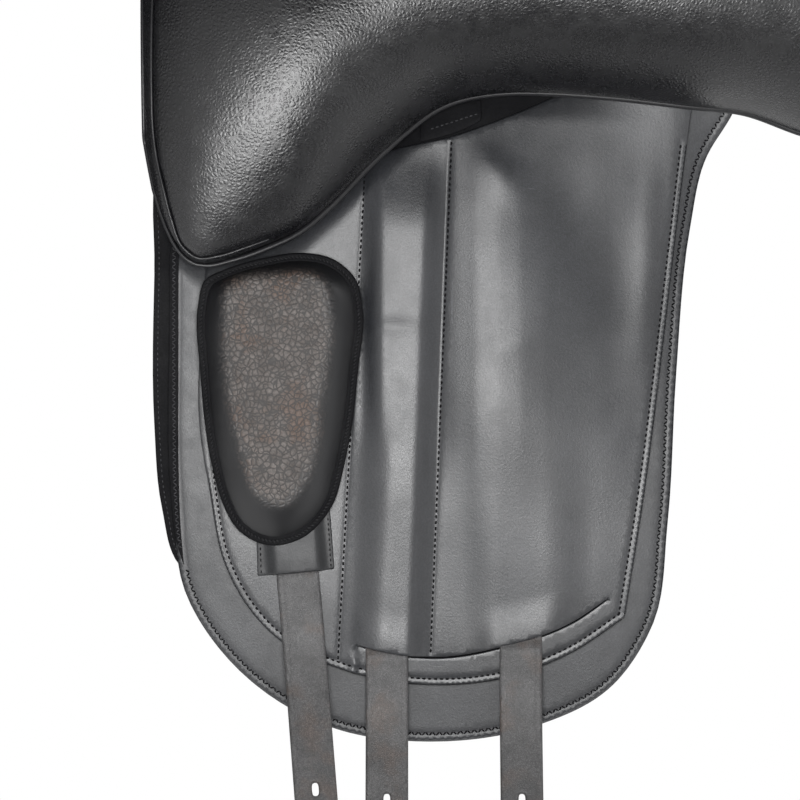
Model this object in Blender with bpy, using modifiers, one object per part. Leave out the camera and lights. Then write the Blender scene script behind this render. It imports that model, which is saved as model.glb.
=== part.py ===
"""Monoflap English dressage saddle, modelled as the separate pieces that a saddler would lay on the bench.

Frame: +X towards the horse's head, +Y to the horse's left, +Z up, in metres. The origin is on the centre
plane, at the level of the lowest stretch of the panels' gullet edges, where the horse's back or a rack holds it.
Left-hand pieces are built first, in the plane of the left flap where they belong to it, then mirrored in Y.
"""

import math

import bmesh
import bpy
from mathutils import Matrix, Vector

MM = 0.001

# Driving dimensions
FLAP_TILT = math.radians(24.0)  # the flap's plane, from the vertical
FLAP_LINE_Y, FLAP_LINE_Z = 0.150, -0.040  # where the flap crosses the panel's lower edge at mid length
HINGE_T = -0.115  # the line where the flap and skirt bend, up the flap from the line above
FLAP_THICK = 3.5 * MM
LEATHER = 1.5 * MM  # lining, keepers and small tabs
SEAT_LEATHER = 1.6 * MM
PANEL_LEATHER = 1.5 * MM
STRAP_THICK = 3.4 * MM
STRAP_WIDTH = 25.4 * MM
GAP = 0.35 * MM  # between pieces that touch on the real saddle
FOAM_GAP = 3.0 * MM  # round the seat's foam
TREE_THICK = 9 * MM
RIGHT = Matrix.Scale(-1, 4, (0, 1, 0))

# Layers on the flap, as distances outward from its middle plane; negative is towards the horse
FLAP_IN, FLAP_OUT = -FLAP_THICK / 2, FLAP_THICK / 2
WEB_OUT = FLAP_IN - GAP
WEB_IN = WEB_OUT - 2.2 * MM
LINING_OUT = WEB_IN - GAP
LINING_IN = LINING_OUT - LEATHER
STRAP_OUT = LINING_IN - GAP
STRAP_IN = STRAP_OUT - STRAP_THICK
PAD_OUT = STRAP_IN - GAP
SKIRT_OUT = FLAP_OUT + GAP + 2.5 * MM

COLOURS = {
    "black_grain_leather": ((0.018, 0.018, 0.020, 1), 0.42, 0.0),
    "smooth_flap_leather": ((0.075, 0.078, 0.084, 1), 0.48, 0.0),
    "strap_leather": ((0.060, 0.058, 0.058, 1), 0.60, 0.0),
    "pad_leather": ((0.085, 0.072, 0.064, 1), 0.55, 0.0),
    "wool_flock": ((0.75, 0.72, 0.65, 1), 0.95, 0.0),
    "seat_foam": ((0.80, 0.76, 0.55, 1), 0.90, 0.0),
    "beech_tree": ((0.55, 0.38, 0.22, 1), 0.60, 0.0),
    "steel": ((0.60, 0.61, 0.63, 1), 0.28, 1.0),
    "webbing": ((0.82, 0.80, 0.74, 1), 0.90, 0.0),
}


# ---------------------------------------------------------------- helpers


def clear_scene():
    for obj in list(bpy.data.objects):
        bpy.data.objects.remove(obj)


def collection(name):
    made = bpy.data.collections.new(name)
    bpy.context.scene.collection.children.link(made)
    return made


def material(slot):
    found = bpy.data.materials.get(slot)
    if found:
        return found
    colour, roughness, metallic = COLOURS[slot]
    made = bpy.data.materials.new(slot)
    made.use_nodes = True
    shader = made.node_tree.nodes["Principled BSDF"]
    shader.inputs["Base Color"].default_value = colour
    shader.inputs["Roughness"].default_value = roughness
    shader.inputs["Metallic"].default_value = metallic
    return made


def add(name, data, slot, matrix=None, parent=None):
    """Puts data in the scene as a part of the saddle, shaded smooth between sharp edges."""
    obj = bpy.data.objects.new(name, data)
    SADDLE.objects.link(obj)
    obj.data.materials.append(material(slot))
    obj.matrix_world = matrix or Matrix.Identity(4)
    if parent:
        obj.parent = parent
        obj.matrix_parent_inverse = parent.matrix_world.inverted()
    if isinstance(data, bpy.types.Mesh):
        data.shade_smooth()
        data.set_sharp_from_angle(angle=math.radians(40))
    return obj


def empty(name, matrix):
    made = bpy.data.objects.new(name, None)
    SADDLE.objects.link(made)
    made.matrix_world = matrix
    return made


def smooth(knots, x):
    """The value at x of a smooth curve through (x, value) knots, which are in rising order."""
    if x <= knots[0][0]:
        return knots[0][1]
    for i in range(len(knots) - 1):
        (x0, v0), (x1, v1) = knots[i], knots[i + 1]
        if x <= x1:
            before = knots[max(i - 1, 0)]
            after = knots[min(i + 2, len(knots) - 1)]
            slope0 = (v1 - before[1]) / (x1 - before[0])
            slope1 = (after[1] - v0) / (after[0] - x0)
            span = x1 - x0
            u = (x - x0) / span
            return (
                v0 * (1 + 2 * u) * (1 - u) ** 2
                + v1 * u * u * (3 - 2 * u)
                + span * (slope0 * u * (1 - u) ** 2 - slope1 * u * u * (1 - u))
            )
    return knots[-1][1]


def rounded(points, steps=4, closed=True):
    """A smooth line through (x, t) points. A point written (x, t, "corner") stays sharp."""
    count = len(points)
    line = []

    def tangent(i):
        if len(points[i]) > 2 or (not closed and i in (0, count - 1)):
            return None
        before, here, after = (Vector(points[j % count][:2]) for j in (i - 1, i, i + 1))
        first, second = (here - before).length, (after - here).length
        return ((here - before) / first * second + (after - here) / second * first) / (first + second)

    for i in range(count if closed else count - 1):
        start, end = Vector(points[i][:2]), Vector(points[(i + 1) % count][:2])
        span = (end - start).length
        out, into = tangent(i), tangent((i + 1) % count)
        if out is None and into is None:
            line.append(start)
            continue
        out = out or (end - start) / span
        into = into or (end - start) / span
        for step in range(steps):
            u = step / steps
            line.append(
                start * (1 + 2 * u) * (1 - u) ** 2
                + end * u * u * (3 - 2 * u)
                + (out * u * (1 - u) ** 2 - into * u * u * (1 - u)) * span
            )
    if not closed:
        line.append(Vector(points[-1][:2]))
    return line


def flat_curve(name, line, half_thickness):
    """A filled flat outline in local XY, half_thickness thick to each side."""
    curve = bpy.data.curves.new(name, "CURVE")
    curve.dimensions = "2D"
    curve.fill_mode = "BOTH"
    curve.extrude = half_thickness
    spline = curve.splines.new("POLY")
    spline.points.add(len(line) - 1)
    for point, place in zip(spline.points, line):
        point.co = (place[0], place[1], 0, 1)
    spline.use_cyclic_u = True
    return curve


def tube_curve(name, points, radius, closed=False, sides=2):
    curve = bpy.data.curves.new(name, "CURVE")
    curve.dimensions = "3D"
    curve.bevel_depth = radius
    curve.bevel_resolution = sides
    curve.use_fill_caps = True
    spline = curve.splines.new("POLY")
    spline.points.add(len(points) - 1)
    for point, place in zip(spline.points, points):
        point.co = (*place, 1)
    spline.use_cyclic_u = closed
    return curve


def as_mesh(obj):
    """Turns a curve, or an object with modifiers, into a plain mesh object of the same name and place."""
    bpy.context.view_layer.update()
    mesh = bpy.data.meshes.new_from_object(obj.evaluated_get(bpy.context.evaluated_depsgraph_get()))
    body = bmesh.new()
    body.from_mesh(mesh)
    bmesh.ops.remove_doubles(body, verts=body.verts, dist=0.01 * MM)
    bmesh.ops.recalc_face_normals(body, faces=body.faces)
    body.to_mesh(mesh)
    body.free()
    name, matrix, parent = obj.name, obj.matrix_world.copy(), obj.parent
    homes = list(obj.users_collection)
    bpy.data.objects.remove(obj)
    made = bpy.data.objects.new(name, mesh)
    for home in homes:
        home.objects.link(made)
    if parent:
        made.parent = parent
        made.matrix_parent_inverse = parent.matrix_world.inverted()
    made.matrix_world = matrix
    mesh.shade_smooth()
    mesh.set_sharp_from_angle(angle=math.radians(40))
    return made


def cutter(name, mesh_or_curve, matrix):
    made = bpy.data.objects.new(name, mesh_or_curve)
    CUTTERS.objects.link(made)
    made.matrix_world = matrix
    if isinstance(mesh_or_curve, bpy.types.Curve):
        made = as_mesh(made)
    made.hide_render = True
    made.display_type = "WIRE"
    return made


def cut(obj, tool):
    modifier = obj.modifiers.new("cut", "BOOLEAN")
    modifier.operation = "DIFFERENCE"
    modifier.object = tool


def loft(name, rings, slot, matrix=None, parent=None):
    """A closed solid through rings of equally many points, with a flat cap at each end."""
    body = bmesh.new()
    made = [[body.verts.new(p) for p in ring] for ring in rings]
    count = len(rings[0])
    for low, high in zip(made, made[1:]):
        for i in range(count):
            j = (i + 1) % count
            body.faces.new((low[i], low[j], high[j], high[i]))
    body.faces.new(reversed(made[0]))
    body.faces.new(made[-1])
    bmesh.ops.recalc_face_normals(body, faces=body.faces)
    mesh = bpy.data.meshes.new(name)
    body.to_mesh(mesh)
    body.free()
    return add(name, mesh, slot, matrix, parent)


def mirrored(obj, name, parent=None):
    """The right-hand twin of a left-hand piece, which shares its evaluated mesh."""
    bpy.context.view_layer.update()
    mesh = bpy.data.meshes.new_from_object(obj.evaluated_get(bpy.context.evaluated_depsgraph_get()))
    twin = bpy.data.objects.new(name, mesh)
    SADDLE.objects.link(twin)
    if parent:
        twin.parent = parent
        twin.matrix_parent_inverse = parent.matrix_world.inverted()
    twin.matrix_world = RIGHT @ obj.matrix_world
    return twin


def both_sides(left_objects):
    """Adds a right-hand twin of each piece, under a twin of the empty that it hangs from."""
    hinges = {}
    for obj in left_objects:
        hinge = None
        if obj.parent:
            if obj.parent.name not in hinges:
                twin_name = obj.parent.name.replace("_left", "_right")
                hinges[obj.parent.name] = empty(twin_name, RIGHT @ obj.parent.matrix_world)
            hinge = hinges[obj.parent.name]
        mirrored(obj, obj.name.replace("_left", "_right"), hinge)


# ---------------------------------------------------------------- places


def flap_frame():
    """The left flap's plane: local X forward, local Y down the flap, local Z outward."""
    return Matrix.Translation((0, FLAP_LINE_Y, FLAP_LINE_Z)) @ Matrix.Rotation(FLAP_TILT - math.pi / 2, 4, "X")


def on_flap(t, out):
    """(y, z) of a place t down the left flap's plane and out from it."""
    return (
        FLAP_LINE_Y + t * math.sin(FLAP_TILT) + out * math.cos(FLAP_TILT),
        FLAP_LINE_Z - t * math.cos(FLAP_TILT) + out * math.sin(FLAP_TILT),
    )


def down_flap(z):
    """How far down the flap's plane the height z is."""
    return (FLAP_LINE_Z - z) / math.cos(FLAP_TILT)


# Seat: half width, height at the centre, height of the lower edge and depth of the dish, against x
SEAT_HALF_WIDTH = [(-0.248, 0.022), (-0.243, 0.060), (-0.230, 0.103), (-0.205, 0.137), (-0.170, 0.150),
                   (-0.130, 0.143), (-0.080, 0.122), (-0.020, 0.106), (0.040, 0.101), (0.100, 0.093),
                   (0.150, 0.084), (0.190, 0.071), (0.215, 0.053), (0.226, 0.030)]
SEAT_CENTRE = [(-0.248, 0.236), (-0.243, 0.243), (-0.230, 0.238), (-0.205, 0.213), (-0.170, 0.180),
               (-0.130, 0.152), (-0.080, 0.134), (-0.020, 0.130), (0.040, 0.137), (0.100, 0.160),
               (0.150, 0.188), (0.190, 0.200), (0.215, 0.190), (0.226, 0.170)]
SEAT_EDGE = [(-0.248, 0.150), (-0.230, 0.134), (-0.170, 0.112), (-0.080, 0.088), (-0.020, 0.084),
             (0.040, 0.091), (0.100, 0.106), (0.150, 0.125), (0.190, 0.142), (0.226, 0.152)]
SEAT_DISH = [(-0.243, 0.0), (-0.205, 0.014), (-0.170, 0.020), (-0.130, 0.016), (-0.080, 0.006), (-0.020, 0.0)]
SEAT_STATIONS = [-0.248, -0.2455, -0.240, -0.230, -0.217, -0.200, -0.180, -0.155, -0.125, -0.090, -0.050, -0.010,
                 0.030, 0.070, 0.105, 0.135, 0.160, 0.182, 0.200, 0.213, 0.221, 0.226]
SEAT_HALF_STEPS = 7
SQUARENESS = 2 / 2.6  # of the seat's cross-section, a superellipse

# Tree: the same kind of surface, inside the seat and lower at the head, where it carries the stirrup bars
TREE_HALF_WIDTH = [(-0.225, 0.085), (-0.205, 0.114), (-0.170, 0.124), (-0.130, 0.105), (-0.100, 0.088),
                   (-0.020, 0.084), (0.040, 0.086), (0.100, 0.085), (0.140, 0.083), (0.180, 0.074),
                   (0.205, 0.060)]
TREE_CENTRE = [(-0.225, 0.206), (-0.205, 0.186), (-0.170, 0.152), (-0.130, 0.124), (-0.080, 0.104),
               (-0.020, 0.100), (0.040, 0.106), (0.100, 0.127), (0.140, 0.150), (0.180, 0.166), (0.205, 0.160)]
TREE_EDGE = [(-0.225, 0.150), (-0.205, 0.138), (-0.170, 0.120), (-0.130, 0.096), (-0.080, 0.070),
             (-0.020, 0.060), (0.040, 0.055), (0.100, 0.052), (0.140, 0.052), (0.180, 0.060), (0.205, 0.088)]
TREE_STATIONS = [-0.225, -0.205, -0.170, -0.130, -0.080, -0.020, 0.040, 0.100, 0.140, 0.180, 0.205]
TREE_HALF_STEPS = 6


def arched(x, half_width, centre, edge, dish, share):
    """A point of an arched surface at x; share runs from -1 at the right edge to 1 at the left edge."""
    width, top, low = smooth(half_width, x), smooth(centre, x), smooth(edge, x)
    angle = abs(share) * math.pi / 2
    y = math.copysign(width * math.sin(angle) ** SQUARENESS, share)
    hollow = (smooth(dish, x) if dish else 0) * math.sin(angle) ** 2 * math.cos(angle) ** 0.5
    z = low + (top - low) * max(math.cos(angle), 0.0) ** SQUARENESS + hollow
    return Vector((x, y, z))


def seat_point(x, share):
    return arched(x, SEAT_HALF_WIDTH, SEAT_CENTRE, SEAT_EDGE, SEAT_DISH, share)


def tree_point(x, share):
    return arched(x, TREE_HALF_WIDTH, TREE_CENTRE, TREE_EDGE, None, share)


def height(x, y, half_width, centre, edge, lift):
    """The height at (x, y) of an arched surface grown by lift, without its dish."""
    width, top, low = smooth(half_width, x) + lift, smooth(centre, x) + lift, smooth(edge, x)
    if abs(y) >= width:
        return low
    sine = (abs(y) / width) ** (1 / SQUARENESS)
    return low + (top - low) * math.sqrt(1 - sine * sine) ** SQUARENESS


def sheet(name, stations, half_steps, place, lift, keep=None):
    """An open grid mesh on a surface, moved lift along its own normals. keep(x, share) picks its faces."""
    columns = 2 * half_steps
    body = bmesh.new()
    bmesh.ops.create_grid(body, x_segments=len(stations) - 1, y_segments=columns, size=1)
    for vert in body.verts:
        station = round((vert.co.x + 1) / 2 * (len(stations) - 1))
        vert.co = place(stations[station], vert.co.y)
    bmesh.ops.recalc_face_normals(body, faces=body.faces)
    body.normal_update()
    if sum(face.normal.z for face in body.faces) < 0:
        bmesh.ops.reverse_faces(body, faces=body.faces)
        body.normal_update()
    moved = {vert: vert.co + vert.normal * lift for vert in body.verts}
    for vert, where in moved.items():
        vert.co = where
    if keep:
        unwanted = [f for f in body.faces if not keep(f.calc_center_median())]
        bmesh.ops.delete(body, geom=unwanted, context="FACES")
    mesh = bpy.data.meshes.new(name)
    body.to_mesh(mesh)
    body.free()
    return mesh


def thicken(obj, thickness):
    """Gives an open sheet its thickness, on the side away from its normals."""
    shell = obj.modifiers.new("leather", "SOLIDIFY")
    shell.thickness = thickness
    shell.offset = -1
    shell.use_even_offset = True
    return obj


# ---------------------------------------------------------------- tree and seat


def make_tree():
    """Laminated tree: head arch, two side rails and cantle round an open middle."""

    def is_wood(place):
        return abs(place.y) > 0.036 or place.x > 0.142 or place.x < -0.170

    mesh = sheet("tree", TREE_STATIONS, TREE_HALF_STEPS, tree_point, 0.0, is_wood)
    return thicken(add("tree", mesh, "beech_tree"), TREE_THICK)


def make_plate_under_tree(name, keep, thickness, drop):
    """A steel plate that follows the underside of the tree."""
    mesh = sheet(name, TREE_STATIONS, TREE_HALF_STEPS, tree_point, -TREE_THICK - drop, keep)
    return thicken(add(name, mesh, "steel"), thickness)


def make_webbing():
    """The strainer web from head to cantle, and two cross webs, over the opening of the tree."""
    stations = [x for x in TREE_STATIONS if -0.21 < x < 0.181]
    half_width = 0.026

    def place(x, share):
        centre = tree_point(x, 0)
        return Vector((x, share * half_width, centre.z))

    mesh = sheet("seat_web", stations, 1, place, 1.4 * MM)
    thicken(add("seat_web", mesh, "webbing"), 1.2 * MM)


def make_seat():
    """Foam seat on the tree, under a leather cover that rolls over its edge."""
    cover = sheet("seat_cover", SEAT_STATIONS, SEAT_HALF_STEPS, seat_point, 0.0)
    thicken(add("seat_cover", cover, "black_grain_leather"), SEAT_LEATHER)
    rings = []
    for x in (x for x in SEAT_STATIONS if -0.225 < x < 0.201):
        half = smooth(SEAT_HALF_WIDTH, x) - 2 * FOAM_GAP
        ys = [half * math.sin(math.pi / 2 * i / SEAT_HALF_STEPS) for i in range(-SEAT_HALF_STEPS, SEAT_HALF_STEPS + 1)]
        floor = smooth(SEAT_EDGE, x) + 2 * FOAM_GAP
        top, low = [], []
        for y in ys:
            above = height(x, y, SEAT_HALF_WIDTH, SEAT_CENTRE, SEAT_EDGE, -FOAM_GAP)
            below = height(x, y, TREE_HALF_WIDTH, TREE_CENTRE, TREE_EDGE, 1.7 * FOAM_GAP)
            above = max(above, floor + 2 * MM)
            low.append(Vector((x, y, min(max(below, floor, above - 0.032), above - 2 * MM))))
            top.append(Vector((x, y, above)))
        rings.append(top + low[::-1])
    loft("seat_foam", rings, "seat_foam")


def seat_rim(drop):
    """Points round the seat's lower edge, drop below it: left side from the rear, then right side back."""
    xs = [-0.246, -0.240, -0.228, -0.205, -0.175, -0.145, -0.11, -0.07, -0.03, 0.01, 0.05, 0.09, 0.13, 0.165,
          0.195, 0.213, 0.224]
    left = [seat_point(x, 1) + Vector((0, -1.0 * MM, -drop)) for x in xs]
    right = [Vector((p.x, -p.y, p.z)) for p in reversed(left)]
    return left + right


def make_seat_welt():
    points = seat_rim(drop=2.9 * MM)
    add("seat_welt", tube_curve("seat_welt", points, 2.0 * MM, closed=True), "black_grain_leather")


# ---------------------------------------------------------------- panels

# Where the panel's lower edge runs down the flap's plane, against x
PANEL_LOW_T = [(-0.253, -0.060), (-0.246, -0.030), (-0.236, 0.000), (-0.222, 0.018), (-0.200, 0.026),
               (-0.160, 0.017), (-0.125, 0.0050), (-0.090, 0.0010), (-0.040, -0.0045), (0.010, -0.0070),
               (0.040, -0.0040), (0.060, 0.0030), (0.080, 0.018), (0.100, 0.036), (0.120, 0.057),
               (0.140, 0.0745), (0.160, 0.0845), (0.183, 0.0925), (0.202, 0.0950), (0.216, 0.0840),
               (0.228, 0.0540), (0.235, 0.0180)]
# How far inside the flap's middle plane that edge lies
PANEL_LOW_IN = [(-0.253, 0.090), (-0.246, 0.062), (-0.236, 0.036), (-0.222, 0.018), (-0.200, 0.006),
                (-0.150, 0.006), (-0.110, 0.0115), (-0.060, 0.0125), (0.100, 0.013), (0.160, 0.0145),
                (0.235, 0.0160)]
# The gullet edge: half the channel's width, and its height
PANEL_GULLET_Y = [(-0.253, 0.046), (-0.240, 0.040), (-0.220, 0.035), (-0.190, 0.033), (0.060, 0.034),
                  (0.140, 0.040), (0.200, 0.052), (0.228, 0.072), (0.235, 0.095)]
PANEL_GULLET_Z = [(-0.253, 0.044), (-0.240, 0.028), (-0.220, 0.014), (-0.150, 0.003), (0.000, 0.004),
                  (0.080, 0.010), (0.140, 0.024), (0.200, 0.038), (0.228, 0.030), (0.235, 0.005)]
PANEL_TOP_Z = [(-0.253, 0.130), (-0.230, 0.124), (-0.200, 0.110), (-0.150, 0.074), (-0.100, 0.052),
               (0.000, 0.044), (0.100, 0.040), (0.140, 0.046), (0.203, 0.052), (0.2085, 0.088),
               (0.217, 0.084), (0.228, 0.056), (0.235, 0.020)]
PANEL_BULGE = [(-0.253, 0.006), (-0.240, 0.014), (-0.180, 0.020), (0.000, 0.016), (0.080, 0.018),
               (0.140, 0.024), (0.190, 0.022), (0.228, 0.012), (0.235, 0.004)]
# The upper outer corner, tucked under the seat behind the flap and inside the flap's plane in front
PANEL_BACK_Y = [(-0.253, 0.053), (-0.246, 0.072), (-0.236, 0.097), (-0.222, 0.116), (-0.200, 0.127),
                (-0.170, 0.121), (-0.148, 0.099), (-0.130, 0.0925), (-0.100, 0.0925), (0.000, 0.095),
                (0.100, 0.090), (0.203, 0.084), (0.217, 0.078), (0.228, 0.088), (0.235, 0.099)]
PANEL_BACK_Z = [(-0.253, 0.133), (-0.246, 0.136), (-0.236, 0.1310), (-0.222, 0.1240), (-0.200, 0.1170),
                (-0.170, 0.1060), (-0.148, 0.080), (-0.130, 0.060), (-0.100, 0.046), (0.000, 0.043),
                (0.100, 0.038), (0.160, 0.040), (0.203, 0.050), (0.2085, 0.084), (0.217, 0.080),
                (0.228, 0.054), (0.235, 0.018)]
PANEL_STATIONS = [-0.253, -0.246, -0.236, -0.222, -0.200, -0.170, -0.148, -0.128, -0.095, -0.050, 0.000, 0.035,
                  0.060, 0.085, 0.110, 0.135, 0.160, 0.185, 0.203, 0.2085, 0.217, 0.228, 0.235]
PANEL_FACE_STEPS = 7
FLOCK_INSET = 5.0 * MM


def panel_section(x):
    """The left panel's outline at x: face from the gullet edge out, up the back, over the top."""
    y, z = on_flap(smooth(PANEL_LOW_T, x), -smooth(PANEL_LOW_IN, x))
    low = Vector((y, z))
    gullet = Vector((smooth(PANEL_GULLET_Y, x), smooth(PANEL_GULLET_Z, x)))
    back = Vector((smooth(PANEL_BACK_Y, x), smooth(PANEL_BACK_Z, x)))
    top = Vector((gullet.x + 0.002, max(smooth(PANEL_TOP_Z, x), gullet.y + 0.006)))
    along = (low - gullet).normalized()
    normal = Vector((along.y, -along.x))  # towards the horse
    bulge = smooth(PANEL_BULGE, x)
    face = []
    for step in range(PANEL_FACE_STEPS + 1):
        share = step / PANEL_FACE_STEPS
        face.append(gullet.lerp(low, share) + normal * bulge * math.sin(math.pi * share) ** 0.7)
    edge = low + Vector((-normal.x, -normal.y)) * 5 * MM
    outline = [*face, edge, edge.lerp(back, 0.5), back, back.lerp(top, 0.5), top]
    return [Vector((x, p.x, p.y)) for p in outline]


def panel_body(inset):
    """The panel's closed form as a bmesh, moved inset inwards along its normals."""
    body = bmesh.new()
    rings = [[body.verts.new(p) for p in panel_section(x)] for x in PANEL_STATIONS]
    count = len(rings[0])
    top_faces = []
    for low, high in zip(rings, rings[1:]):
        for i in range(count):
            j = (i + 1) % count
            face = body.faces.new((low[i], low[j], high[j], high[i]))
            if i in (count - 3, count - 2):
                top_faces.append(face)
    body.faces.new(reversed(rings[0]))
    body.faces.new(rings[-1])
    bmesh.ops.recalc_face_normals(body, faces=body.faces)
    body.normal_update()
    moved = {vert: vert.co - vert.normal * inset for vert in body.verts}
    for vert, where in moved.items():
        vert.co = where
    return body, top_faces


def make_panel():
    """Flocked panel: the leather tray that rests on the horse, and the wool that fills it from above."""
    body, top_faces = panel_body(0.0)
    bmesh.ops.delete(body, geom=top_faces, context="FACES")
    mesh = bpy.data.meshes.new("panel_cover_left")
    body.to_mesh(mesh)
    body.free()
    cover = thicken(add("panel_cover_left", mesh, "black_grain_leather"), PANEL_LEATHER)
    body, _ = panel_body(FLOCK_INSET)
    mesh = bpy.data.meshes.new("panel_flock_left")
    body.to_mesh(mesh)
    body.free()
    return [cover, add("panel_flock_left", mesh, "wool_flock")]


def make_gullet_lining():
    """Leather strip along the channel that joins the two panels."""
    stations = [-0.23, -0.15, -0.05, 0.05, 0.13]

    def place(x, share):
        half = smooth(PANEL_GULLET_Y, x) - 1.5 * MM
        return Vector((x, share * half, smooth(PANEL_GULLET_Z, x) + 0.034))

    mesh = sheet("gullet_lining", stations, 1, place, 0.0)
    thicken(add("gullet_lining", mesh, "black_grain_leather"), LEATHER)


# ---------------------------------------------------------------- flap pieces

FLAP_OUTLINE = [(0.214, HINGE_T, "corner"), (0.2185, -0.020), (0.2190, 0.120), (0.2180, 0.235), (0.2110, 0.290),
                (0.1780, 0.338), (0.1240, 0.3715), (0.0640, 0.3804), (0.0040, 0.3720), (-0.0440, 0.3480),
                (-0.0700, 0.3090), (-0.0785, 0.250), (-0.0840, 0.160), (-0.0930, 0.070), (-0.1020, 0.030),
                (-0.1180, 0.003), (-0.1340, -0.040), (-0.1380, HINGE_T, "corner")]
LINING_OUTLINE = [(0.1950, 0.062, "corner"), (0.2000, 0.120), (0.2020, 0.190), (0.1960, 0.229), (0.1860, 0.2754),
                  (0.1732, 0.2988), (0.1534, 0.3195), (0.1228, 0.3345), (0.0640, 0.3459), (0.0234, 0.3426),
                  (-0.0212, 0.3262), (-0.0524, 0.3054, "corner"), (-0.0638, 0.2340), (-0.0758, 0.1422),
                  (-0.0842, 0.0720), (-0.0920, 0.0072), (-0.0960, -0.022, "corner"), (-0.0300, -0.014),
                  (0.0136, 0.0042), (0.0502, 0.0174), (0.0832, 0.0246), (0.1200, 0.036)]
SLIT_LINE = [(0.1078, 0.3222), (0.0850, 0.3275), (0.0580, 0.3294), (0.0220, 0.3234), (-0.0212, 0.3084),
             (-0.0416, 0.2949)]
PAD_OUTLINE = [(0.1990, 0.1040), (0.2026, 0.1180), (0.2014, 0.1582), (0.1942, 0.2148), (0.1884, 0.2358),
               (0.1780, 0.2535), (0.1588, 0.2622), (0.1400, 0.2575), (0.1234, 0.2400), (0.1148, 0.2120),
               (0.1068, 0.1550), (0.1042, 0.1212), (0.1085, 0.1030), (0.1220, 0.0910), (0.1414, 0.0885),
               (0.1620, 0.0970), (0.1850, 0.0995)]
KEEPER_OUTLINE = [(0.1680, 0.2630, "corner"), (0.1590, 0.2650), (0.1455, 0.2630), (0.1330, 0.2560),
                  (0.1238, 0.2450, "corner"), (0.1212, 0.2764, "corner"), (0.1672, 0.2806, "corner")]
BLOCK_OUTLINE = [(0.2130, 0.000), (0.2270, 0.030), (0.2296, 0.100), (0.2296, 0.190), (0.2250, 0.240),
                 (0.2140, 0.275), (0.2020, 0.284), (0.1850, 0.262), (0.1640, 0.200), (0.1560, 0.110),
                 (0.1640, 0.030), (0.1850, 0.000)]
SKIRT_LOW = [(0.150, 0.004), (0.060, 0.010), (-0.040, -0.006), (-0.096, -0.045)]


def flap_plate(name, outline, inner, outer, slot, parent, steps=4):
    """A flat leather piece between two layers of the flap."""
    frame = flap_frame() @ Matrix.Translation((0, 0, (inner + outer) / 2))
    curve = flat_curve(name, rounded(outline, steps), abs(outer - inner) / 2)
    return add(name, curve, slot, frame, parent)


def bar_notch():
    """Cutter for the flap's notch round the stirrup bar."""
    line = [(0.068, HINGE_T - 0.02), (0.172, HINGE_T - 0.02), (0.172, -0.086), (0.068, -0.086)]
    return cutter("bar_notch", flat_curve("bar_notch", [Vector(p) for p in line], 0.01), flap_frame())


def slit_cutter():
    """Cutter for the curved slit that the two rear straps come out of: a wall stood on the slit's line."""
    curve = bpy.data.curves.new("strap_slit", "CURVE")
    curve.dimensions = "2D"
    curve.fill_mode = "BOTH"
    curve.extrude = 0.02
    line = rounded(SLIT_LINE, 4, closed=False)
    spline = curve.splines.new("POLY")
    spline.points.add(len(line) - 1)
    for point, place in zip(spline.points, line):
        point.co = (place[0], place[1], 0, 1)
    made = bpy.data.objects.new("strap_slit", curve)
    CUTTERS.objects.link(made)
    made.matrix_world = flap_frame()
    made = as_mesh(made)
    wall = made.modifiers.new("width", "SOLIDIFY")
    wall.thickness = 2.6 * MM
    wall.offset = 0
    made = as_mesh(made)
    made.hide_render = True
    made.display_type = "WIRE"
    return made


def cushion(name, outline, layers, slot, parent, steps=3):
    """A padded piece on the flap: its outline at each (out, scale) layer, drawn in towards its middle."""
    line = rounded(outline, steps)
    middle = sum(line, Vector((0, 0))) / len(line)
    rings = [[(*(middle + (p - middle) * scale), out) for p in line] for out, scale in layers]
    return loft(name, rings, slot, flap_frame(), parent)


def make_flap(hinge):
    flap = as_mesh(flap_plate("flap_left", FLAP_OUTLINE, FLAP_IN, FLAP_OUT, "smooth_flap_leather", hinge))
    cut(flap, bar_notch())
    lining = as_mesh(flap_plate("flap_lining_left", LINING_OUTLINE, LINING_IN, LINING_OUT,
                                "smooth_flap_leather", hinge))
    cut(lining, slit_cutter())
    pad = cushion("point_pad_left", PAD_OUTLINE,
                  [(PAD_OUT, 1.0), (PAD_OUT - 3.5 * MM, 1.0), (PAD_OUT - 13 * MM, 0.88),
                   (PAD_OUT - 18 * MM, 0.60)], "pad_leather", hinge)
    keeper = flap_plate("strap_keeper_left", KEEPER_OUTLINE, PAD_OUT - LEATHER, PAD_OUT,
                        "smooth_flap_leather", hinge)
    block = cushion("thigh_block_left", BLOCK_OUTLINE,
                    [(FLAP_OUT + GAP, 1.0), (FLAP_OUT + 6 * MM, 1.0), (FLAP_OUT + 24 * MM, 0.90),
                     (FLAP_OUT + 31 * MM, 0.62)], "black_grain_leather", hinge)
    return [flap, lining, pad, keeper, block]


STRAPS = {  # name: (x of its middle, t of its exit, lean forward of its foot, straight length, whole length)
    "front_strap": (0.1430, 0.2815, -0.0903, 0.020, 0.327),
    "middle_strap": (0.0898, 0.3300, 0.0, 0.012, 0.2825),
    "rear_strap": (0.0097, 0.3258, 0.0, 0.012, 0.287),
}
STRAP_BEND = 0.115  # radius over which a strap turns from the flap's plane to hang
STRAP_TURN = math.radians(25)
HOLE_WIDTH, HOLE_LENGTH, HOLE_PITCH, HOLES = 4.0 * MM, 8.5 * MM, 25 * MM, 7
FIRST_HOLE = 0.046  # from the last hole up to the strap's foot


WEB_HALF_WIDTH, WEB_HEAD = 11 * MM, 0.030
FRONT_WEB_HEAD = 0.110  # where the front strap's web comes out from under the panel
FRONT_WEB_TOP_T = 0.279  # t at which the front web's line meets the strap's own


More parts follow.
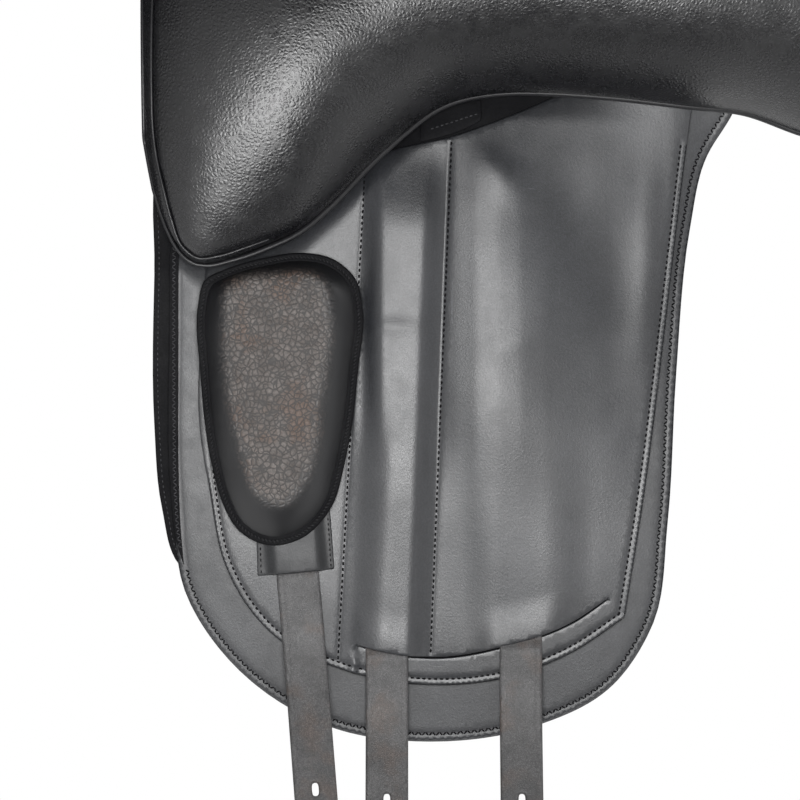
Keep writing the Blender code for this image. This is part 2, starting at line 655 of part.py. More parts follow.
def make_webs(hinge):
    """Nylon webs that carry each strap down from the tree inside the flap."""
    frame = flap_frame()
    made = []
    for name, strap, head, foot, inner, outer in (
        ("middle_web_left", "middle_strap", WEB_HEAD, 0.316, WEB_IN, WEB_OUT),
        ("rear_web_left", "rear_strap", WEB_HEAD, 0.311, WEB_IN, WEB_OUT),
        ("front_web_left", "front_strap", FRONT_WEB_HEAD, 0.270, STRAP_IN + 0.8 * MM, STRAP_OUT),
    ):
        x, _, lean, _, _ = STRAPS[strap]
        upper = x + lean * (head - FRONT_WEB_TOP_T)
        lower = x + lean * (foot - FRONT_WEB_TOP_T)
        line = [(upper - WEB_HALF_WIDTH, head), (upper + WEB_HALF_WIDTH, head),
                (lower + WEB_HALF_WIDTH, foot), (lower - WEB_HALF_WIDTH, foot)]
        curve = flat_curve(name, [Vector(p) for p in line], abs(outer - inner) / 2)
        at = frame @ Matrix.Translation((0, 0, (inner + outer) / 2))
        made.append(add(name, curve, "webbing", at, hinge))
    return made


def strap_frame(name):
    """The place of a strap's hinge: local X across the strap, local Y down it, local Z outward."""
    x, t, lean, _, _ = STRAPS[name]
    middle = (STRAP_IN + STRAP_OUT) / 2
    return flap_frame() @ Matrix.Translation((x, t, middle)) @ Matrix.Rotation(-math.atan(lean), 4, "Z")


def strap_place(name, along):
    """(down, out, angle) of the strap's middle line, along metres from its exit, in the hinge's frame."""
    straight = STRAPS[name][3]
    turned = min(max((along - straight) / STRAP_BEND, 0.0), STRAP_TURN)
    down = min(along, straight) + STRAP_BEND * math.sin(turned)
    inward = STRAP_BEND * (1 - math.cos(turned))
    rest = max(along - straight - STRAP_BEND * STRAP_TURN, 0.0)
    return down + rest * math.cos(turned), -(inward + rest * math.sin(turned)), turned


def make_strap(name, hinge):
    """A girth strap with punched holes and a pointed foot."""
    frame = strap_frame(name)
    straight, length = STRAPS[name][3:]
    bend = STRAP_BEND * STRAP_TURN
    places = [0.0, straight, *(straight + bend * i / 4 for i in (1, 2, 3, 4)), length - 0.022, length - 0.008, length]
    widths = [1.0] * (len(places) - 2) + [0.62, 0.28]
    rings = []
    for along, share in zip(places, widths):
        down, out, angle = strap_place(name, along)
        normal = Vector((0, math.sin(angle), math.cos(angle)))
        half, middle = STRAP_WIDTH / 2 * share, Vector((0, down, out))
        across = Vector((half, 0, 0))
        skin = normal * STRAP_THICK / 2
        rings.append([middle - across - skin, middle + across - skin, middle + across + skin, middle - across + skin])
    strap = loft(name + "_left", rings, "strap_leather", frame, hinge)
    for number in range(HOLES):
        along = length - FIRST_HOLE - number * HOLE_PITCH
        down, out, angle = strap_place(name, along)
        body = bmesh.new()
        bmesh.ops.create_cube(body, size=1.0)
        mesh = bpy.data.meshes.new(f"{name}_hole")
        body.to_mesh(mesh)
        body.free()
        place = frame @ Matrix.Translation((0, down, out)) @ Matrix.Rotation(-angle, 4, "X")
        tool = cutter(f"{name}_hole_{number}", mesh,
                      place @ Matrix.Diagonal((HOLE_WIDTH, HOLE_LENGTH, 4 * STRAP_THICK, 1)))
        cut(strap, tool)
    return strap


def make_skirt(hinge):
    """The small flap over the stirrup bar, hinged where the leather bends."""
    outline = [(0.1900, HINGE_T + 0.4 * MM, "corner"), (0.1860, -0.050), *SKIRT_LOW,
               (-0.1040, HINGE_T + 0.4 * MM, "corner")]
    return flap_plate("skirt_left", outline, FLAP_OUT + GAP, SKIRT_OUT, "black_grain_leather", hinge)


def head_outline(front, rear, lower):
    """The fixed leather between the seat's lower edge and the bending line."""
    xs = [rear + (front - rear) * i / 8 for i in range(9)]
    top = [(x, down_flap(seat_point(x, 1).z - 7.2 * MM)) for x in xs]
    top = [(x, min(t, lower - 0.004)) for x, t in top]
    return [(front, lower, "corner"), (rear, lower, "corner"), (*top[0], "corner"), *top[1:-1], (*top[-1], "corner")]


def make_heads():
    flap_head = flap_plate("flap_head_left", head_outline(0.208, 0.178, HINGE_T - 0.6 * MM), FLAP_IN, FLAP_OUT,
                           "smooth_flap_leather", None)
    skirt_head = flap_plate("skirt_head_left", head_outline(0.190, -0.104, HINGE_T - 0.6 * MM),
                            FLAP_OUT + GAP, SKIRT_OUT, "black_grain_leather", None, steps=2)
    return [flap_head, skirt_head]


# ---------------------------------------------------------------- metal


def make_stirrup_bar():
    """Forged bar: a back plate on the tree, a bend at the front and a blade that the leather hangs on."""
    plate_in, plate_out, blade_in, blade_out = -17.5 * MM, -14.5 * MM, -4 * MM, -0.8 * MM
    line = [(0.060, plate_in), (0.163, plate_in), (0.166, plate_in + 0.003), (0.166, blade_out - 0.003),
            (0.163, blade_out), (0.092, blade_out), (0.092, blade_in), (0.157, blade_in), (0.157, plate_out),
            (0.060, plate_out)]
    side_on = Matrix.Rotation(math.pi / 2, 4, "X")  # local Y becomes outward, local Z up the flap
    place = flap_frame() @ Matrix.Translation((0, -0.099, 0)) @ side_on
    curve = flat_curve("stirrup_bar_left", [Vector(p) for p in line], 0.0065)
    return add("stirrup_bar_left", curve, "steel", place)


def catch_frame():
    """The catch's pin: across the bar's open rear end, along the outward direction."""
    return flap_frame() @ Matrix.Translation((0.0850, -0.099, -2.4 * MM))


def make_catch(hinge):
    """The catch on the rear end of the bar, which turns up to shut it and down to let the leather slide off."""
    half = 5.5 * MM
    eye = [(half * math.sin(a), half * math.cos(a)) for a in (math.pi * i / 8 for i in range(9))]
    line = [*eye, (-0.0085, -half), (-0.0135, -0.003), (-0.0135, 0.002), (-0.0095, half)]
    place = catch_frame()
    curve = flat_curve("bar_catch_left", [Vector(p) for p in line], 1.6 * MM)
    return add("bar_catch_left", curve, "steel", place, hinge)


def make_tree_point():
    """Steel-cored point of the tree, down the front behind the panel's pocket."""
    outline = [(0.196, -0.132, "corner"), (0.194, -0.060), (0.190, -0.022), (0.180, -0.012), (0.170, -0.022),
               (0.171, -0.060), (0.171, -0.132, "corner")]
    return flap_plate("tree_point_left", outline, -15.5 * MM, -11.5 * MM, "beech_tree", None, steps=3)


def ring_frame():
    """The straight side of the front dee, beside the pommel."""
    return flap_frame() @ Matrix.Translation((0.170, down_flap(0.112), SKIRT_OUT + 3.2 * MM))


def make_dee(hinge):
    """Dee ring and the leather-backed staple that holds its straight side."""
    wire, half = 1.7 * MM, 0.011
    bow = [(half * math.cos(a), 0.004 + 0.013 * math.sin(a)) for a in (math.pi * i / 10 for i in range(11))]
    points = [(x, y, 0) for x, y in [(-half, 0), (half, 0), *bow]]
    dee = add("dee_ring_left", tube_curve("dee_ring_left", points, wire, closed=True), "steel", ring_frame(), hinge)
    side_on = Matrix.Rotation(math.pi / 2, 4, "Y")  # local Z along the dee's straight side
    inner, outer = 2.1 * MM, 3.3 * MM
    foot = -3.2 * MM + GAP

    def arc(radius, start, end):
        angles = [start + (end - start) * i / 8 for i in range(9)]
        return [Vector((-radius * math.sin(a), radius * math.cos(a))) for a in angles]

    # local X is inward here, so the arch stands on the skirt and bows outward over the wire
    arch = [Vector((-foot, outer + 4 * MM)), Vector((-foot - 1.1 * MM, outer + 4 * MM)),
            *arc(outer, 0, math.pi),
            Vector((-foot - 1.1 * MM, -outer - 4 * MM)), Vector((-foot, -outer - 4 * MM)),
            Vector((-foot, -inner)), *arc(inner, math.pi, 0), Vector((-foot, inner))]
    staple = add("dee_staple_left", flat_curve("dee_staple_left", arch, 0.004), "steel", ring_frame() @ side_on)
    return [dee, staple]


def make_nail(name, x, height):
    """Dome-headed saddle nail beside the pommel or the cantle."""
    body = bmesh.new()
    bmesh.ops.create_uvsphere(body, u_segments=12, v_segments=8, radius=5 * MM)
    bmesh.ops.bisect_plane(body, geom=body.verts[:] + body.edges[:] + body.faces[:], plane_co=(0, 0, 0),
                           plane_no=(0, 0, -1), clear_outer=True)
    bmesh.ops.holes_fill(body, edges=[e for e in body.edges if e.is_boundary], sides=0)
    bmesh.ops.scale(body, vec=(1, 1, 0.7), verts=body.verts)
    mesh = bpy.data.meshes.new(name)
    body.to_mesh(mesh)
    body.free()
    place = flap_frame() @ Matrix.Translation((x, down_flap(height), SKIRT_OUT + GAP))
    return add(name, mesh, "steel", place)


def make_leather_loop(hinge):
    """Keeper on the outside of the flap for the end of the stirrup leather."""
    line = [(-0.020, 0.0), (-0.020, 0.0015), (-0.013, 0.0060), (0.013, 0.0060), (0.020, 0.0015), (0.020, 0.0),
            (0.0145, 0.0), (0.0115, 0.0044), (-0.0115, 0.0044), (-0.0145, 0.0)]
    side_on = Matrix.Rotation(math.pi / 2, 4, "X")
    place = flap_frame() @ Matrix.Translation((0.020, 0.150, FLAP_OUT + GAP)) @ side_on
    curve = flat_curve("leather_loop_left", [Vector(p) for p in line], 0.008)
    return add("leather_loop_left", curve, "smooth_flap_leather", place, hinge)


# ---------------------------------------------------------------- the whole saddle


def main():
    make_tree()
    make_plate_under_tree("gullet_plate", lambda p: p.x > 0.150 and abs(p.y) < 0.060, 2.0 * MM, 1.3 * MM)
    make_plate_under_tree("cantle_plate", lambda p: p.x < -0.172 and abs(p.y) < 0.090, 1.6 * MM, 1.3 * MM)
    make_webbing()
    make_seat()
    make_seat_welt()
    make_gullet_lining()

    hinge_place = flap_frame() @ Matrix.Translation((0, HINGE_T, SKIRT_OUT))
    flap_hinge = empty("flap_hinge_left", hinge_place)
    skirt_hinge = empty("skirt_hinge_left", hinge_place)
    left = make_panel() + make_heads() + make_flap(flap_hinge) + make_webs(flap_hinge)
    left += [make_skirt(skirt_hinge), make_leather_loop(flap_hinge), make_tree_point(), make_stirrup_bar()]
    for name in STRAPS:
        left.append(make_strap(name, empty(name + "_hinge_left", strap_frame(name))))
    left.append(make_catch(empty("catch_hinge_left", catch_frame())))
    left += make_dee(empty("dee_hinge_left", ring_frame()))
    left.append(make_nail("front_nail_left", 0.182, 0.124))
    both_sides(left)


clear_scene()
SADDLE = collection("english_saddle")
CUTTERS = collection("cutters")
main()
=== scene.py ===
"""Looks of the monoflap dressage saddle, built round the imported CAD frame. Metres; +X to the horse's head,
+Y to its left. Left-hand pieces are built in the plane of the left flap as (x, t, k): forward, down the flap,
outward from its middle. Their right-hand twins are mirrored."""

import math

import bmesh
import bpy
import numpy as np
from mathutils import Matrix, Vector
from mathutils.bvhtree import BVHTree
from mathutils.geometry import delaunay_2d_cdt


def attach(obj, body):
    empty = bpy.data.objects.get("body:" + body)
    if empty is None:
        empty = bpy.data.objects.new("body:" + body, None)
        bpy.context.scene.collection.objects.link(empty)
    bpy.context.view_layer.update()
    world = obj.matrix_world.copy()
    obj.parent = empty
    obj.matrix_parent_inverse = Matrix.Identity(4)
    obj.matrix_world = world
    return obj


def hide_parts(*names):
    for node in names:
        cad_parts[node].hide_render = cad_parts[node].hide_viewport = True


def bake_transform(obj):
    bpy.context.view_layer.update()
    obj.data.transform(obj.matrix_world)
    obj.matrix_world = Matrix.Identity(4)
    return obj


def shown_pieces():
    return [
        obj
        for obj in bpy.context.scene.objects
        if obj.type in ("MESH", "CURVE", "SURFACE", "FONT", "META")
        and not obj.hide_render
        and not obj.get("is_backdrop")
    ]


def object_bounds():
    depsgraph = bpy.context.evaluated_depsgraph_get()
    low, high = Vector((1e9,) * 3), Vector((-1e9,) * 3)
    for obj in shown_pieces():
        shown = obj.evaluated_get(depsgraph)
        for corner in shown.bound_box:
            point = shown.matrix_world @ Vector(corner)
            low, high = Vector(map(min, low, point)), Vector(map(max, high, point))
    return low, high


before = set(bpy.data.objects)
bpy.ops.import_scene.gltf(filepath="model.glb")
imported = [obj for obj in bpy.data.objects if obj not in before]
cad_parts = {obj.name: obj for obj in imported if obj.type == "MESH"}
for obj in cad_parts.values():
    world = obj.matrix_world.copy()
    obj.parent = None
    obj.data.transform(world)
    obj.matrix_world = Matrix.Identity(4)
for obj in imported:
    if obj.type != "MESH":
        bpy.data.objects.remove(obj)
CAD_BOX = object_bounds()
MM = 0.001

# ---------------------------------------------------------------- the flap's plane and its layers

TILT = math.radians(24)
SIN, COS = math.sin(TILT), math.cos(TILT)
LINE_Y, LINE_Z, HINGE_T = 0.150, -0.040, -0.115
FLAP_THICK, LEATHER, STRAP_THICK, STRAP_WIDTH, GAP = 3.5 * MM, 1.5 * MM, 3.4 * MM, 25.4 * MM, 0.35 * MM
FLAP_IN, FLAP_OUT = -FLAP_THICK / 2, FLAP_THICK / 2
LINING_OUT = FLAP_IN - 2 * GAP - 2.2 * MM
LINING_IN = LINING_OUT - LEATHER
STRAP_OUT = LINING_IN - GAP
STRAP_IN = STRAP_OUT - STRAP_THICK
STRAP_MID = (STRAP_IN + STRAP_OUT) / 2
PAD_OUT = STRAP_IN - GAP
SKIRT_IN = FLAP_OUT + GAP
SKIRT_OUT = SKIRT_IN + 2.5 * MM
SIDES = ("left", "right")
FLAP_GROUP = "flap_group_left"
SMOOTH, BLACK, PAD = "smooth_flap_leather", "black_grain_leather", "pad_leather"  # material slots
CLOTH_FRAMES = 20
PLATEAU_BLUR = 16 * MM


def mm(*points):
    """Points given in millimetres, in metres. A word in a point stays."""
    return [tuple(v if isinstance(v, str) else v / 1000 for v in p) for p in points]


def step(a, b, v):
    u = np.clip((v - a) / (b - a), 0, 1)
    return u * u * (3 - 2 * u)


def bell(v, middle, width):
    return np.exp(-(((v - middle) / width) ** 2))


def bow(x, t):
    """How far the flap and all that lies on it stand out of their plane."""
    hang = step(-0.05, 0.06, t)
    low = step(0.25, 0.39, t)
    rear = step(0.03, -0.10, x) * bell(t, 0.085, 0.095)
    below_panel = t - np.interp(x, PANEL_EDGE[:, 0], PANEL_EDGE[:, 1])
    under = 5.0 * MM * step(15 * MM, -10 * MM, below_panel) * step(-0.070, -0.040, t)
    under = under * step(-0.10, 0.02, x) + 4.5 * MM * step(-0.080, -0.108, x) * step(0.17, 0.04, t) * hang
    return hang * (1.5 * MM * low + 7.5 * MM * rear - 0.8 * MM * np.sin(x * 26 + t * 9)) + under


def place(x, t, k):
    """A point of the left flap's layers, from arrays or numbers."""
    return np.stack([x + 0 * t, LINE_Y + t * SIN + k * COS, LINE_Z - t * COS + k * SIN], axis=-1)


def point(x, t, k):
    return Vector(place(np.float64(x), np.float64(t), np.float64(k)))


def on_flap(x, t, k):
    return place(x, t, k + bow(x, t))


def on_line(line, k):
    return on_flap(line[:, 0], line[:, 1], k)


# ---------------------------------------------------------------- lines and meshes


def rounded(points, steps=6, closed=True):
    """A smooth line through (x, t) points. A point written (x, t, "corner") stays sharp."""
    count = len(points)
    line = []

    def tangent(i):
        if len(points[i]) > 2 or (not closed and i in (0, count - 1)):
            return None
        before, here, after = (Vector(points[j % count][:2]) for j in (i - 1, i, i + 1))
        first, second = (here - before).length, (after - here).length
        return ((here - before) / first * second + (after - here) / second * first) / (first + second)

    for i in range(count if closed else count - 1):
        start, end = Vector(points[i][:2]), Vector(points[(i + 1) % count][:2])
        span = (end - start).length
        out, into = tangent(i), tangent((i + 1) % count)
        out = out or (end - start) / span
        into = into or (end - start) / span
        for k in range(steps):
            u = k / steps
            line.append(start * (1 + 2 * u) * (1 - u) ** 2 + end * u * u * (3 - 2 * u)
                        + (out * u * (1 - u) ** 2 - into * u * u * (1 - u)) * span)
    if not closed:
        line.append(Vector(points[-1][:2]))
    return np.array([(p[0], p[1]) for p in line])


def resampled(line, pitch, closed=True):
    """The same line with its points about pitch apart."""
    path = np.vstack([line, line[:1]]) if closed else line
    lengths = np.linalg.norm(np.diff(path, axis=0), axis=1)
    along = np.concatenate([[0], np.cumsum(lengths)])
    count = max(int(round(along[-1] / pitch)), 3)
    marks = np.linspace(0, along[-1], count + 1)
    if closed:
        marks = marks[:-1]
    return np.stack([np.interp(marks, along, path[:, i]) for i in range(path.shape[1])], axis=1)


def sideways(line, closed=True):
    """Unit vectors across a line, to the right of its direction with t drawn downwards."""
    if closed:
        ahead = np.roll(line, -1, 0) - np.roll(line, 1, 0)
    else:
        ahead = np.gradient(line, axis=0)
    ahead /= np.maximum(np.linalg.norm(ahead, axis=1, keepdims=True), 1e-12)
    return np.stack([-ahead[:, 1], ahead[:, 0]], axis=1)


def area(line):
    x, y = line[:, 0], line[:, 1]
    return 0.5 * float(np.sum(x * np.roll(y, -1) - np.roll(x, -1) * y))


def inset(line, distance):
    """The line moved towards the inside of its outline."""
    return line + sideways(line) * distance * (1 if area(line) > 0 else -1)


def inside(points, line):
    x, y = points[:, 0:1], points[:, 1:2]
    x0, y0 = line[:, 0][None], line[:, 1][None]
    x1, y1 = np.roll(line[:, 0], -1)[None], np.roll(line[:, 1], -1)[None]
    crossing = (y0 > y) != (y1 > y)
    at = x0 + (y - y0) * (x1 - x0) / np.where(y1 == y0, 1e-12, y1 - y0)
    return (crossing & (x < at)).sum(axis=1) % 2 == 1


def distance(points, line, closed=True):
    """Each point's distance to a line."""
    a = line if closed else line[:-1]
    b = np.roll(line, -1, 0) if closed else line[1:]
    best = np.full(len(points), 1e9)
    run = b - a
    square = np.maximum((run ** 2).sum(1), 1e-18)
    for first in range(0, len(points), 4000):
        chunk = points[first:first + 4000]
        u = np.clip(((chunk[:, None] - a[None]) * run[None]).sum(2) / square[None], 0, 1)
        nearest = a[None] + u[..., None] * run[None]
        best[first:first + 4000] = np.sqrt(((chunk[:, None] - nearest) ** 2).sum(2)).min(1)
    return best


def grooves(x, t, seams, width, depth):
    """How far a leather sinks at its seams."""
    spots = np.stack([np.atleast_1d(x), np.atleast_1d(t)], 1)
    return depth * np.minimum(sum(np.exp(-((distance(spots, s, False) / width) ** 2)) for s in seams), 1)


def nearest_gap(points, others):
    """Each point's distance to the nearest of some others."""
    gap = np.empty(len(points))
    for first in range(0, len(points), 2000):
        apart = points[first:first + 2000, None] - others[None]
        gap[first:first + 2000] = np.linalg.norm(apart, axis=2).min(1)
    return gap


def inner(path, outline, depth):
    """The line that follows a path, depth inside the outline, with its points 2 mm apart."""
    line = resampled(path, 2 * MM, closed=False)
    across = sideways(line, False)
    middle = len(line) // 2
    probe = line[middle] + across[middle] * 3 * MM
    return line + across * depth * (1 if inside(probe[None], outline)[0] else -1)


def inner_loop(outline, depth):
    """A closed seam, depth inside the outline."""
    line = inset(resampled(outline, 2 * MM), depth)
    return np.vstack([line, line[:1]])


def new_object(name, mesh, material):
    obj = bpy.data.objects.new(name, mesh)
    bpy.context.scene.collection.objects.link(obj)
    if material:
        mesh.materials.append(MATERIALS[material])
    return obj


def mesh_of(name, points, faces):
    mesh = bpy.data.meshes.new(name)
    mesh.from_pydata([tuple(p) for p in points], [], faces)
    mesh.update()
    mesh.shade_smooth()
    return mesh


def closed_mesh(name, points, faces):
    """A closed mesh whose faces all look outwards."""
    mesh = mesh_of(name, points, faces)
    body = bmesh.new()
    body.from_mesh(mesh)
    bmesh.ops.delete(body, geom=[v for v in body.verts if not v.link_faces], context="VERTS")
    bmesh.ops.recalc_face_normals(body, faces=body.faces)
    body.to_mesh(mesh)
    body.free()
    mesh.shade_smooth()
    return mesh


def plate(name, outline, front, back, material, pitch=3.0 * MM, edge=0.9 * MM, holes=(), lines=(),
          mapping=on_flap):
    """A closed leather piece with a rounded edge. front and back are k, or give it from
    (x, t, distance to the edge).

    lines are seams, each (points, half width): the mesh is finer there, so that it can sink at them."""
    outline = resampled(outline, pitch)
    hole_pitch = min(pitch, 1.0 * MM)
    holes = [resampled(h, hole_pitch) for h in holes]
    constraints, points = [], []
    for number, loop in enumerate([outline, *holes]):
        away = 1 if number == 0 else -1
        for depth in (0.0, 0.12 * edge, 0.45 * edge, 1.0 * edge):
            ring = loop if depth == 0 else inset(loop, away * depth)
            if depth == 0:
                first = sum(len(r) for r in points)
                constraints += [(first + i, first + (i + 1) % len(ring)) for i in range(len(ring))]
            points.append(ring)
    low, high = outline.min(0), outline.max(0)
    rows = int((high[1] - low[1]) / (pitch * 0.87)) + 1
    columns = int((high[0] - low[0]) / pitch) + 1
    grid = np.array([(low[0] + (i + 0.5 * (j % 2)) * pitch, low[1] + j * pitch * 0.87)
                     for j in range(rows + 1) for i in range(columns + 1)])
    keep = inside(grid, outline) & (distance(grid, outline) > edge + 0.5 * pitch)
    for hole in holes:
        keep &= ~inside(grid, hole) & (distance(grid, hole) > edge + 0.4 * hole_pitch)
    grid = grid[keep]
    for path, half in lines:
        path = np.asarray(path)
        grid = grid[distance(grid, path, False) > 2.6 * half]
    points.append(grid)
    for path, half in lines:
        fine = resampled(np.asarray(path), 1.6 * MM, closed=False)
        across = sideways(fine, False)
        for shift in (-2.0, -1.0, 0.0, 1.0, 2.0):
            row = fine + across * shift * half
            ok = inside(row, outline) & (distance(row, outline) > 1.3 * edge)
            for hole in holes:
                ok &= ~inside(row, hole) & (distance(row, hole) > 1.2 * edge)
            points.append(row[ok])
    flat = np.vstack(points)
    made = delaunay_2d_cdt([Vector(p) for p in flat], constraints, [], 0, 1e-7)
    flat = np.array([(p[0], p[1]) for p in made[0]])
    faces = np.array([f for f in made[2] if len(f) == 3])
    middle = flat[faces].mean(1)
    good = inside(middle, outline)
    for hole in holes:
        good &= ~inside(middle, hole)
    faces = faces[good]
    corners = flat[faces]
    turn = np.cross(corners[:, 1] - corners[:, 0], corners[:, 2] - corners[:, 0])
    faces = np.where((turn > 0)[:, None], faces, faces[:, ::-1])
    depth = distance(flat, outline)
    for hole in holes:
        depth = np.minimum(depth, distance(flat, hole))
    rim = depth < 2e-6
    arc = np.sqrt(np.clip(1 - (1 - np.minimum(depth / edge, 1)) ** 2, 0, 1))
    x, t = flat[:, 0], flat[:, 1]
    near, far = (k(x, t, depth) if callable(k) else k + 0 * x for k in (front, back))
    centre, half = (near + far) / 2, (near - far) / 2
    upper = mapping(x, t, centre + half * arc)
    lower = mapping(x, t, centre - half * arc)
    index = np.arange(len(flat))
    under = np.where(rim, index, len(flat) + index)
    everything = np.vstack([upper, lower])
    faces_all = [tuple(f) for f in faces.tolist()] + [tuple(f[::-1]) for f in under[faces].tolist()]
    return new_object(name, closed_mesh(name, everything, faces_all), material)


def tube(name, points, radius, material, closed=False, sides=3, shares=None):
    """A round cord along points. shares says how thick it is at each of them, as a share of radius."""
    curve = bpy.data.curves.new(name, "CURVE")
    curve.dimensions = "3D"
    curve.bevel_depth = radius
    curve.bevel_resolution = sides
    curve.use_fill_caps = True
    spline = curve.splines.new("POLY")
    spline.points.add(len(points) - 1)
    for target, p in zip(spline.points, points):
        target.co = (*p, 1)
    if shares is not None:
        spline.points.foreach_set("radius", [float(v) for v in shares])
    spline.use_cyclic_u = closed
    obj = bpy.data.objects.new(name, curve)
    bpy.context.scene.collection.objects.link(obj)
    return solid(obj, material)


def solid(obj, material=None):
    """The object's evaluated shape as a plain mesh object of the same name."""
    bpy.context.view_layer.update()
    mesh = bpy.data.meshes.new_from_object(obj.evaluated_get(bpy.context.evaluated_depsgraph_get()))
    name, matrix = obj.name, obj.matrix_world.copy()
    bpy.data.objects.remove(obj)
    mesh.transform(matrix)
    mesh.shade_smooth()
    if material:
        mesh.materials.clear()
    return new_object(name, mesh, material)


def thread(name, spots, material):
    """One mesh of small rounded strands, from spots of (middle, direction, up, length, thickness)."""
    points, faces = [], []
    profile = ((-0.5, 0.35, -0.55), (-0.36, 0.85, -0.05), (-0.12, 1.0, 0.25), (0.12, 1.0, 0.25),
               (0.36, 0.85, -0.05),
               (0.5, 0.35, -0.55))
    sides = 6
    for middle, ahead, up, length, thick in spots:
        across = ahead.cross(up).normalized()
        first = len(points)
        for along, fat, rise in profile:
            for s in range(sides):
                angle = 2 * math.pi * s / sides
                points.append(middle + ahead * along * length
                              + (across * math.cos(angle) + up * math.sin(angle)) * fat * thick / 2
                              + up * rise * thick)
        rings = len(profile)
        for r in range(rings - 1):
            for s in range(sides):
                a, b = first + r * sides + s, first + r * sides + (s + 1) % sides
                faces.append((a, b, b + sides, a + sides))
        faces.append(tuple(first + s for s in reversed(range(sides))))
        faces.append(tuple(first + (rings - 1) * sides + s for s in range(sides)))
    mesh = mesh_of(name, points, faces)
    return new_object(name, mesh, material)


def stitches(name, path, surface, material, pitch=3.5 * MM, share=0.68, thick=0.7 * MM, zigzag=0.0,
             slant=0.0,
             outward=False):
    """A row of stitches along an (x, t) line. surface is k under them, or a function that gives it."""
    line = resampled(np.asarray(path), pitch, closed=False)
    across = sideways(line, False)
    up = Vector((0, COS, SIN)) * (1 if outward else -1)
    spots = []
    for i in range(len(line) - 1):
        swing = (zigzag * (1 if i % 2 else -1) + slant) / 2
        start, end = (Vector(on_flap(p[0], p[1], float(surface(p[0],
                                                               p[1]) if callable(surface) else surface)))
                      for p in (line[i] + across[i] * swing, line[i + 1] - across[i + 1] * swing))
        run = end - start
        length = run.length * (0.92 if zigzag or slant else share)
        spots.append(((start + end) / 2, run.normalized(), up, length, thick))
    return thread(name, spots, material)


def mirrored(obj, name):
    mesh = obj.data.copy()
    mesh.name = name
    mesh.transform(Matrix.Scale(-1, 4, (0, 1, 0)))
    mesh.flip_normals()
    twin = bpy.data.objects.new(name, mesh)
    bpy.context.scene.collection.objects.link(twin)
    return twin


def across_y(p):
    return Vector((p[0], -p[1], p[2]))


def both(obj, body, replaced=(), blend=None):
    """Gives a left-hand piece its right-hand twin and hangs both on a body's empty; with blend, it only bakes
    their place into their meshes. Names have left in them.
    """
    pair = [obj, mirrored(obj, obj.name.replace("_left", "_right"))]
    for side, piece in zip(SIDES, pair):
        if blend:
            a, b, start, end = blend
            if side == "right":
                start, end = across_y(start), across_y(end)
            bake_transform(piece)
        else:
            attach(piece, body.replace("_left", "_" + side))
        if replaced:
            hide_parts(*[n.replace("_left", "_" + side) for n in replaced])
    return pair


def sew(name, path, surface, material="thread_black", slot=SMOOTH, body=FLAP_GROUP, **how):
    """A row of stitches and its twin, which ride on a body. name leaves out the side."""
    both(stitches(name + "_left", path, surface, material, **how), body)


def cut(name, outline, front, back, material, slot=BLACK, replaced=(), body=FLAP_GROUP, **how):
    """A flat leather piece and its twin, which ride on a body. name leaves out the side."""
    both(plate(name + "_left", outline, front, back, material, **how), body, replaced)


def inflate(obj, name, material, pressure, cap, pins, pin_reach):
    """Turns a plain closed form into stuffed leather with a cloth simulation. pins are where it stays put."""
    mesh = obj.data
    start = np.array([v.co[:] for v in mesh.vertices])
    hold = nearest_gap(start, pins) < pin_reach
    group = obj.vertex_groups.new(name="pin")
    group.add([int(i) for i in np.nonzero(hold)[0]], 1.0, "REPLACE")
    cloth = obj.modifiers.new("cloth", "CLOTH")
    settings = cloth.settings
    settings.quality = 5
    settings.mass = 0.3
    settings.tension_stiffness = settings.compression_stiffness = 15
    settings.shear_stiffness = 5
    settings.bending_stiffness = 0.5
    settings.use_pressure = True
    settings.uniform_pressure_force = pressure
    settings.effector_weights.gravity = 0
    settings.vertex_group_mass = "pin"
    cloth.point_cache.frame_end = CLOTH_FRAMES
    for number in range(1, CLOTH_FRAMES + 1):
        bpy.context.scene.frame_set(number)
    shaped = obj.evaluated_get(bpy.context.evaluated_depsgraph_get()).to_mesh()
    moved = np.array([v.co[:] for v in shaped.vertices]) - start
    bpy.context.scene.frame_set(1)
    obj.modifiers.clear()
    obj.vertex_groups.clear()
    moved *= np.minimum(1, cap / np.maximum(np.linalg.norm(moved, axis=1, keepdims=True), 1e-9))
    moved[hold] = 0
    mesh.vertices.foreach_set("co", (start + moved).ravel())
    smoothed = obj.modifiers.new("smooth", "SMOOTH")
    smoothed.factor, smoothed.iterations = 0.5, 3
    subsurf = obj.modifiers.new("subsurf", "SUBSURF")
    subsurf.levels = subsurf.render_levels = 1
    obj = solid(obj, material)
    obj.name = name
    return obj


# ---------------------------------------------------------------- materials

MATERIALS = {}


